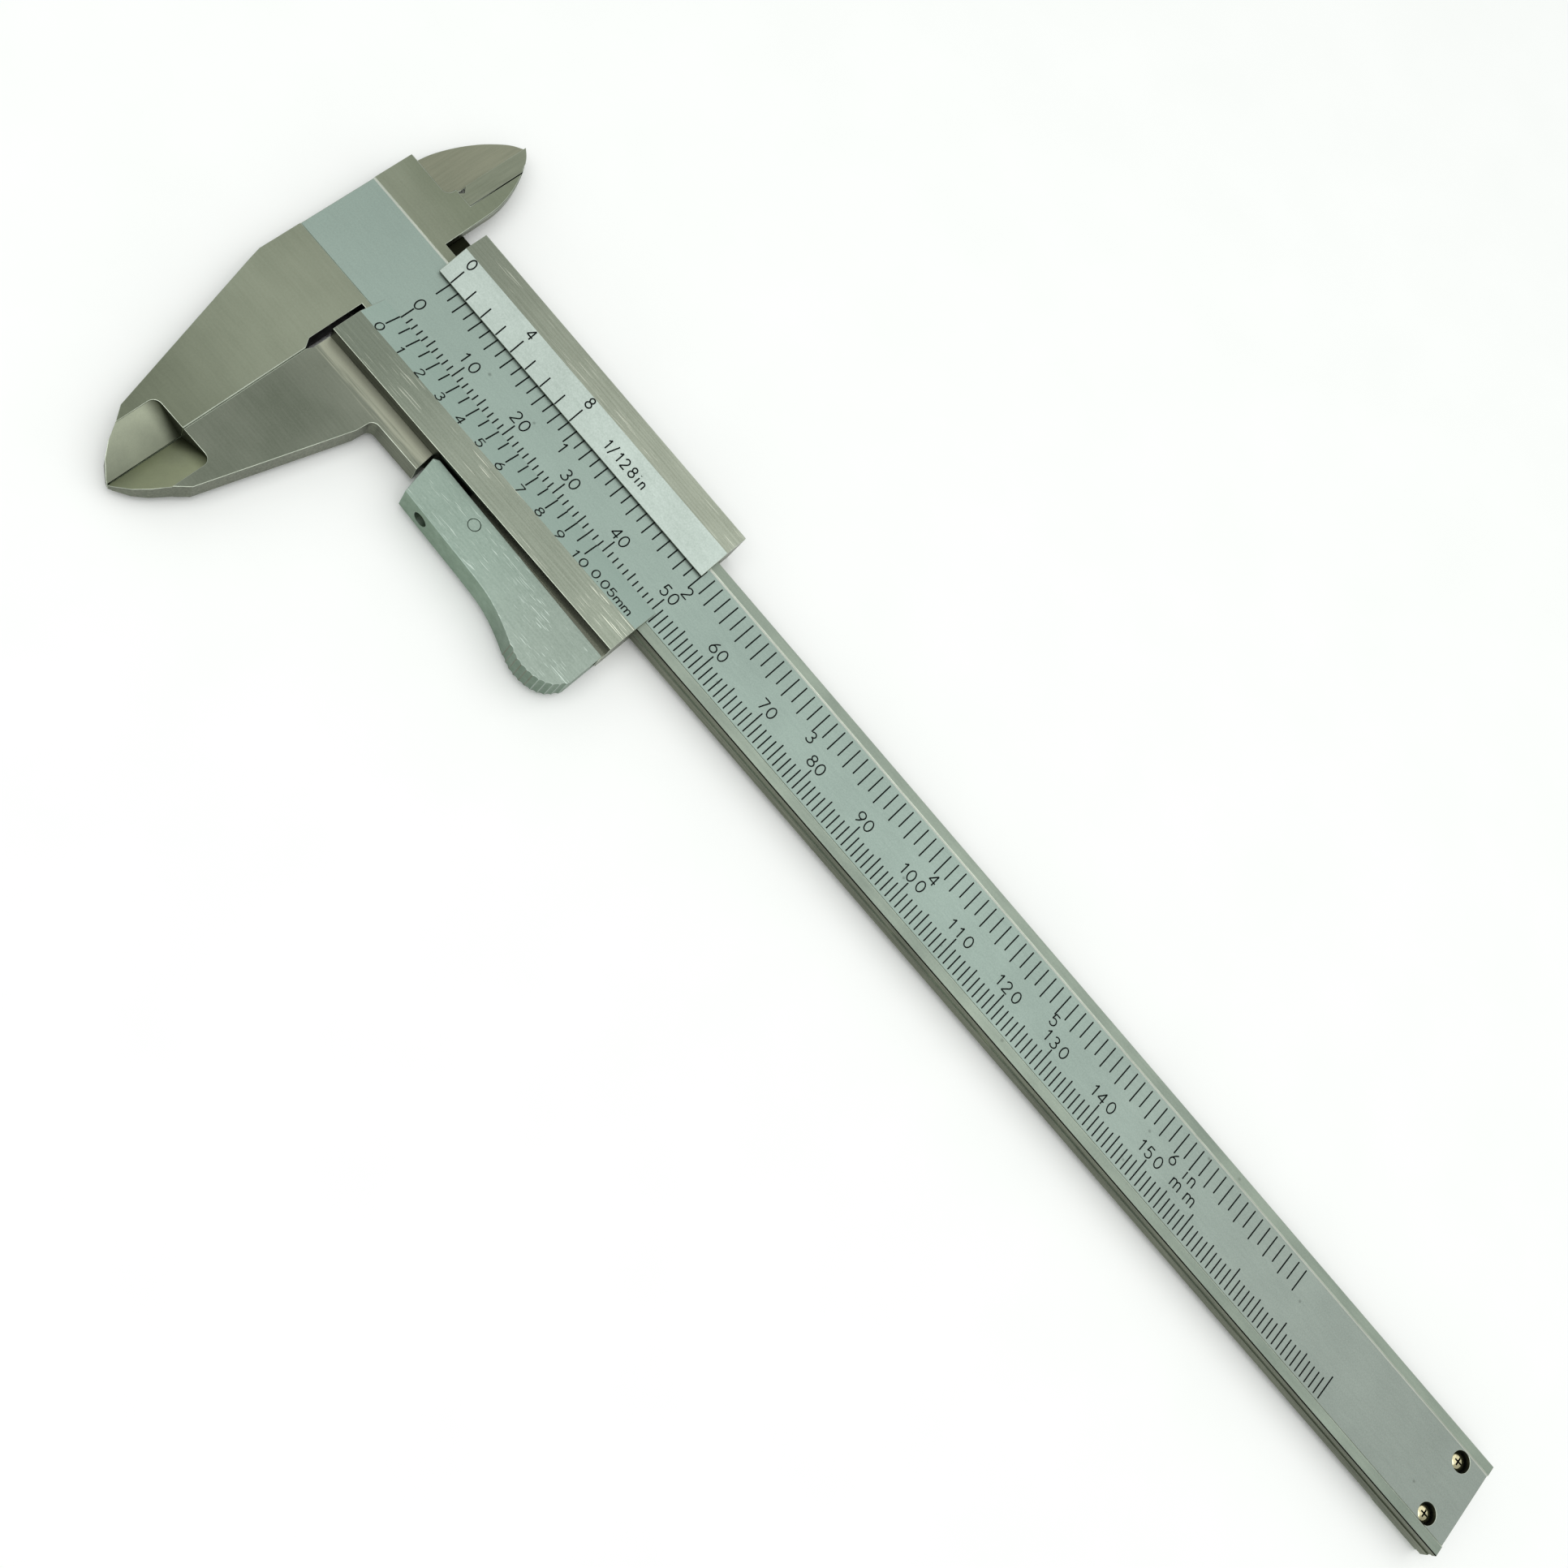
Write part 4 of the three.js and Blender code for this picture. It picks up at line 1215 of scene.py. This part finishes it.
@dataclass
class Slider:
    """The slider with the moving jaws, two verniers, gib, depth rod, and the lever's pin and spring."""

    bench: Bench
    edge: float = 0.06
    crease: float = 0.07
    bevel_y: Flat = (-4.0, 15.0)
    bevel_rise: Flat = (0.85, 0.97)
    bevel_z: float = 0.4
    middle_y: float = 5.0
    lip_y: Flat = (0.0, 12.0)
    lip_z: Flat = (0.25, 0.55)
    rail_low: float = -7.9
    rail_z: float = 1.0
    ledge_from: float = 9.0
    ledge_z: float = 0.2
    flank_y: float = -31.0
    flank_rise: Flat = (0.3, 0.999)
    rear_blade: Flat = (-4.0, 13.0)  # it lies left of the first and above the second
    relief_to: float = -2.0
    relief_y: Flat = (-12.0, 18.5)
    metric_edge: Flat = (1.42, 0.5)
    inch_edge: Flat = (10.35, 0.5)
    metric_tilt: float = -20.87
    inch_tilt: float = 22.95
    metric_step: float = 3.9
    inch_step: float = 2.9766
    gib_x: Flat = (4.0, 46.0)
    gib_y: Flat = (14.0, 14.8)
    gib_z: Flat = (-2.8, -0.1)
    gib_screw_x: Flat = (13.0, 37.0)
    gib_screw_z: float = -1.4
    gib_screw_r: float = 0.9
    gib_screw_top: float = 18.0
    rod_x: Flat = (16.0, 217.2)
    rod_y: Flat = (4.55, 7.15)
    rod_z: Flat = (-2.9, -1.65)
    rod_tip: float = 0.7
    rivet_x: Flat = (19.0, 25.0)
    rivet_r: float = 0.7
    pin: Point = (27.4, -10.45, 0.0)
    pin_r: float = 0.84
    pin_z: Flat = (-3.1, 1.25)
    spring_x: float = 38.5
    spring_y: Flat = (-12.48, -9.45)  # short enough for the pressed lever
    spring_r: float = 0.75
    wire_r: float = 0.14
    turns: int = 6
    steps_per_turn: int = 28

    def build(self) -> None:
        """Makes every piece that rides on the slider."""
        self._shell()
        self._metric_vernier()
        self._inch_vernier()
        self._gib()
        for node, x in zip(("gib_screw_left", "gib_screw_right"), self.gib_screw_x):
            self._gib_screw(node, x)
        self._depth_rod()
        for node, x in zip(("depth_rod_rivet_front", "depth_rod_rivet_rear"), self.rivet_x):
            self._rivet(node, x)
        self._pivot_pin()
        self._spring()

    def _face_rule(self, middle: Vector, normal: Vector) -> Dress:
        """Chrome on the vernier bevels, rubbed steel on the ledge and tongue, painted shade on the rail's
        lower wall, the relief's walls and the side walls, and ground steel elsewhere.
        """
        x, y, z = middle
        if within(normal.z, self.bevel_rise) and z > self.bevel_z and within(y, self.bevel_y):
            return Dress.LOW_BEVEL if y < self.middle_y else Dress.HIGH_BEVEL
        if normal.z > FLAT_SHARE and x > self.ledge_from and y < self.rail_low and abs(z) < 0.3:
            return Dress.RUBBED
        if y < self.flank_y and within(normal.z, self.flank_rise) and z < self.ledge_z - NEAR:
            return Dress.MOVING_FLANK
        if x < self.rear_blade[0] and y > self.rear_blade[1] and normal.z > UP_SHARE:
            return Dress.REAR_BLADE
        # painted shade on the rail's lower wall
        if abs(normal.y) > FLAT_SHARE and abs(y - self.rail_low) < NEAR:
            return Dress.WALL
        # painted shade on the relief's walls
        if x < self.relief_to and within(y, self.relief_y) and abs(normal.x) > 0.5:
            return Dress.CREASE
        if normal.z > UP_SHARE:
            return Dress.RAIL if z > self.rail_z else Dress.MOVING_JAW
        # painted shade on the side walls
        return Dress.SIDE

    def _shell(self) -> None:
        """The slider's body and jaws, with their edges broken."""
        bench = self.bench
        shell = bench.copy_of("slider_body", "slider")
        slots = bench.dress(shell, self._face_rule, Dress.EDGE, Dress.CREASE, Dress.BRIGHT_EDGE)

        def outer_edge(spot: Vector, _: Vector) -> bool:
            """Outer edges, apart from the hairline lips."""
            return not (within(spot.z, self.lip_z) and within(spot.y, self.lip_y))

        bench.break_jaw_edges(shell, self.crease, lambda *_: False, self.ledge_z, slots)
        bench.round_edges(shell, self.edge, outer_edge, slot=slots[Dress.EDGE])
        bench.hand_over(shell, Body.SLIDER, Slot.SLIDER, "slider_body", smooth=CRISP)

    def _metric_vernier(self) -> None:
        """Twenty divisions on 39 mm, numbered in tenths, on the lower bevel."""
        face = EngravedFace(self.bench, Body.SLIDER, Slot.SLIDER, (0, *self.metric_edge), self.metric_tilt)
        step = self.metric_step
        face.marks("metric_vernier_marks", [
            MarkRow(0.0, step, 11, -3.0, -0.02), MarkRow(step / 2, step, 10, -2.45, -0.02)])
        words = [Words(str(k), step * k - 0.5, step * k + 0.5, -5.0, 1.6) for k in range(10)]
        words += [Words("10", 38.0, 40.35, -5.0, 1.6), Words("0.05mm", 41.5, 48.7, -4.6, 1.58)]
        face.numbers("metric_vernier_numbers", words)

    def _inch_vernier(self) -> None:
        """Eight divisions on the upper bevel, numbered 0, 4 and 8."""
        face = EngravedFace(self.bench, Body.SLIDER, Slot.SLIDER, (0, *self.inch_edge), self.inch_tilt)
        step = self.inch_step
        face.marks("inch_vernier_marks", [
            MarkRow(0.0, 4 * step, 3, 0.02, 2.39), MarkRow(step, 4 * step, 2, 0.02, 1.91, 3, step)])
        words = [Words(str(k), step * k - 0.5, step * k + 0.5, 3.0, 1.5) for k in (0, 4, 8)]
        face.numbers("inch_vernier_numbers", [*words, Words("1/128in", 29.2, 36.8, 1.3, 1.45)])

    def _gib(self) -> None:
        """The bronze strip between the beam and the upper rail, dimpled where its screws bear."""
        bench = self.bench
        low, high = zip(self.gib_x, self.gib_y, self.gib_z)
        gib = bench.block("gib", low, high)
        for x in self.gib_screw_x:
            point = [(0, -0.25), (0.5, 0.05), (0.5, 0.4), (0, 0.4)]
            cut(gib, bench.turned("dimple", point, (x, self.gib_y[1], self.gib_screw_z), along_y=True))
        bench.round_edges(gib, 0.08)
        bench.finish_off(gib, Dress.BRONZE, Body.SLIDER, Slot.BRONZE, "gib_strip")

    def _gib_screw(self, node: str, x: float) -> None:
        """A slotted set screw with a dog point."""
        bench = self.bench
        r, low, top, z = self.gib_screw_r, self.gib_y[1], self.gib_screw_top, self.gib_screw_z
        thread = thread_profile(r * ROOT_SHARE, r, low + 0.4, top - 0.1, FINE_PITCH)
        outline = [(0, low), (0.45, low), (0.45, low + 0.3), *thread, (r * 0.8, top), (0, top)]
        screw = bench.turned(f"{node}_slotted", outline, (x, 0, z), along_y=True)
        cut(screw, bench.block("slot", (x - 1.2, top - 0.5, z - 0.15), (x + 1.2, top + 1, z + 0.15)))
        bench.finish_off(screw, Dress.SCREW, Body.SLIDER, Slot.SCREW, node, smooth=SCREW_CRISP)

    def _depth_rod(self) -> None:
        """The flat rod in the beam's groove, with a relieved measuring tip."""
        bench = self.bench
        low, high = zip(self.rod_x, self.rod_y, self.rod_z)
        rod = bench.block("depth_gauge_rod", low, high)
        tip = (high[0], low[1])
        bench.round_edges(
            rod, self.rod_tip, lambda spot, way: abs(way.z) > FLAT_SHARE and math.dist(spot.xy, tip) < 1,
            segments=1)
        for x in self.rivet_x:
            eye = [(0, -4), (0.85, -4), (0.85, 0), (0, 0)]
            cut(rod, bench.turned("eye", eye, (x, sum(self.rod_y) / 2, 0)))
        slots = bench.dress(rod, lambda *_: Dress.GROUND, Dress.EDGE)
        bench.round_edges(rod, self.edge, slot=slots[Dress.EDGE])
        bench.hand_over(rod, Body.SLIDER, Slot.GROUND, "depth_rod")

    def _rivet(self, node: str, x: float) -> None:
        """A rivet that holds the depth rod, peened flush with the slider's back."""
        r = self.rivet_r
        outline = [(0, -4.5), (r * 0.7, -4.48), (r, -4.38), (r, -1.9), (r * 0.8, -1.78), (0, -1.75)]
        rivet = self.bench.turned(f"{node}_peened", outline, (x, sum(self.rod_y) / 2, 0))
        self.bench.finish_off(rivet, Dress.SCREW, Body.SLIDER, Slot.SCREW, node)

    def _pivot_pin(self) -> None:
        """The lever's pin, ground flush so that only a thin ring shows round it."""
        pin = self.bench.turned("lever_pivot", chamfered(self.pin_r, self.pin_z, 0.06, 0.06), self.pin)
        self.bench.finish_off(pin, Dress.LEVER, Body.SLIDER, Slot.LEVER, "lever_pivot_pin")

    def _spring(self) -> None:
        """The coil spring behind the thumb pad."""
        count = self.steps_per_turn * self.turns
        low, high = self.spring_y
        run = []
        for i in range(count + 1):
            angle = 2 * math.pi * i / self.steps_per_turn
            run.append(self.bench.at(
                self.spring_x + self.spring_r * math.cos(angle), low + (high - low) * i / count,
                LEVER_MID_Z + self.spring_r * math.sin(angle)))
        spring = swept("lever_spring_coil", [run], self.wire_r, 2)
        self.bench.finish_off(spring, Dress.WIRE, Body.SLIDER, Slot.SPRING, "lever_spring", smooth=60)


# ---------------------------------------------------------------- lever and brake


@dataclass
class LeverBrake:
    """The thumb lever with its set screw, and the shoe that it lets go of."""

    bench: Bench
    edge: float = 0.08
    half_height: float = 2.175
    pad_x: Flat = (34.0, 47.5)
    pad_y: float = -13.5
    brake_x: float = 22.4
    screw_r: float = 0.95
    screw_y: Flat = (-13.4, -8.3)
    socket_r: float = 0.5
    shoe_r: float = 0.85
    shoe_y: Flat = (-8.2, -2.2)

    def build(self) -> None:
        """Makes the lever, its set screw and the brake shoe."""
        self._lever()
        self._set_screw()
        self._shoe()

    def _lever(self) -> None:
        """The lever with its fluted pad, its edges rubbed, and its sides and the ridges between its flutes
        darkened as painted shade.
        """
        bench = self.bench
        lever = bench.copy_of("thumb_lever", "lever")
        # the lever's sides get a darker chrome as painted shade
        slots = bench.dress(
            lever, lambda _, normal: Dress.LEVER if abs(normal.z) > FLAT_SHARE else Dress.LEVER_SIDE,
            Dress.LEVER, Dress.SIDE)

        def cusp(spot: Vector, way: Vector) -> bool:
            """The ridges between the flutes of the thumb pad."""
            return abs(way.z) > FLAT_SHARE and within(spot.x, self.pad_x) and spot.y < self.pad_y

        def outside(spot: Vector, way: Vector) -> bool:
            """The outline's edges and corners, but not the slot inside."""
            rim = abs(abs(spot.z - LEVER_MID_Z) - self.half_height) < NEAR
            return rim or (abs(way.z) > FLAT_SHARE and not cusp(spot, way))

        # the ridges between the flutes are lined with the side finish's painted shade
        bench.round_edges(lever, self.edge, cusp, segments=1, slot=slots[Dress.SIDE])
        bench.round_edges(lever, self.edge, outside, slot=slots[Dress.LEVER])
        bench.hand_over(lever, Body.LEVER, Slot.LEVER, "thumb_lever", smooth=30)

    def _set_screw(self) -> None:
        """A socket set screw, reached through the hole in the lever's side."""
        bench = self.bench
        r, (low, top) = self.screw_r, self.screw_y
        thread = thread_profile(r * ROOT_SHARE, r, low + 0.1, top - 0.3, 0.4)
        outline = [(0, low), (r * 0.78, low), *thread, (0.5, top), (0, top)]
        screw = bench.turned("brake_screw", outline, (self.brake_x, 0, LEVER_MID_Z), along_y=True)
        bpy.ops.mesh.primitive_cylinder_add(
            vertices=6, radius=self.socket_r * MM, depth=1.6 * MM, rotation=(math.pi / 2, 0, 0),
            location=bench.at(self.brake_x, low, LEVER_MID_Z))
        socket = bpy.context.active_object
        settle(socket)
        cut(screw, socket)
        bench.finish_off(screw, Dress.SCREW, Body.LEVER, Slot.SCREW, "brake_set_screw", smooth=SCREW_CRISP)

    def _shoe(self) -> None:
        """The bronze shoe that presses on the beam's edge."""
        outline = chamfered(self.shoe_r, self.shoe_y, 0.12, 0.08)
        shoe = self.bench.turned("shoe", outline, (self.brake_x, 0, LEVER_MID_Z), along_y=True)
        self.bench.finish_off(shoe, Dress.BRONZE, Body.BRAKE, Slot.BRONZE, "brake_shoe")


# ---------------------------------------------------------------- studio


@dataclass
class Studio:
    """A pale floor, soft light from above and the camera."""

    floor_size: float = 3.0
    floor_light: str = "ffffff"
    floor_dark: str = "fafbfa"
    floor_fibre: float = 50 / 3  # in mm
    sky: float = 0.62
    camera_at: Point = (-0.037458, -0.113111, 0.234488)
    aim_at: Point = (-0.021122, 0.003712, 0.0046)
    roll: float = 56.326
    lens: float = 44.742
    boxes: tuple[tuple[Point, float, float], ...] = (
        ((-0.05, -0.25, 0.85), 0.8, 3.6),
        ((0.2, 0.37, 0.78), 0.7, 1.2),
    )

    def build(self) -> None:
        """Sets the floor, the lights and the camera."""
        self._floor()
        self._lights()
        self._camera()

    def _floor(self) -> None:
        """A large matt sheet under the tool."""
        bpy.ops.mesh.primitive_plane_add(size=self.floor_size)
        floor = bpy.context.active_object
        floor.name = "floor"
        recipe = Recipe("matt_white_card")
        fibre = recipe.noise((self.floor_fibre,) * 3, 3.0, 0.5)
        colour = recipe.mix(fibre, self.floor_dark, self.floor_light)
        floor.data.materials.append(
            recipe.done({"Roughness": 0.9, "Specular IOR Level": 0.1}, {"Base Color": colour}))

    def _lights(self) -> None:
        """An even pale sky and two large soft boxes."""
        world = bpy.data.worlds.new("pale_room")
        world.use_nodes = True
        world.node_tree.nodes["Background"].inputs["Color"].default_value = linear("f4f8f4")
        world.node_tree.nodes["Background"].inputs["Strength"].default_value = self.sky
        bpy.context.scene.world = world
        for place, size, power in self.boxes:
            bpy.ops.object.light_add(type="AREA", location=place)
            box = bpy.context.active_object
            box.data.shape = "SQUARE"
            box.data.size = size
            box.data.energy = power
            box.rotation_euler = (-Vector(place)).to_track_quat("-Z", "Y").to_euler()

    def _camera(self) -> None:
        """The camera, held where the view is taken from."""
        bpy.ops.object.camera_add(location=self.camera_at)
        camera = bpy.context.active_object
        look = (Vector(self.aim_at) - Vector(self.camera_at)).to_track_quat("-Z", "Y").to_matrix().to_4x4()
        turn = look @ Matrix.Rotation(math.radians(self.roll), 4, "Z")
        camera.matrix_world = Matrix.Translation(self.camera_at) @ turn
        camera.data.lens = self.lens
        camera.data.sensor_width = 36.0
        camera.data.clip_start = 0.01
        bpy.context.scene.camera = camera
        bpy.context.scene.view_settings.view_transform = "Standard"


def main() -> None:
    """Builds the caliper round its frame and reports each piece."""
    logging.basicConfig(level=logging.INFO, format="%(message)s")
    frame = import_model()
    bench = Bench.set_up(frame, head_low=(-17.2, -42.5, -3.1))
    Studio().build()
    for assembly in (Beam(bench), Slider(bench), LeverBrake(bench)):
        log.info("building the %s", type(assembly).__name__)
        assembly.build()


if __name__ == "__main__":
    main()
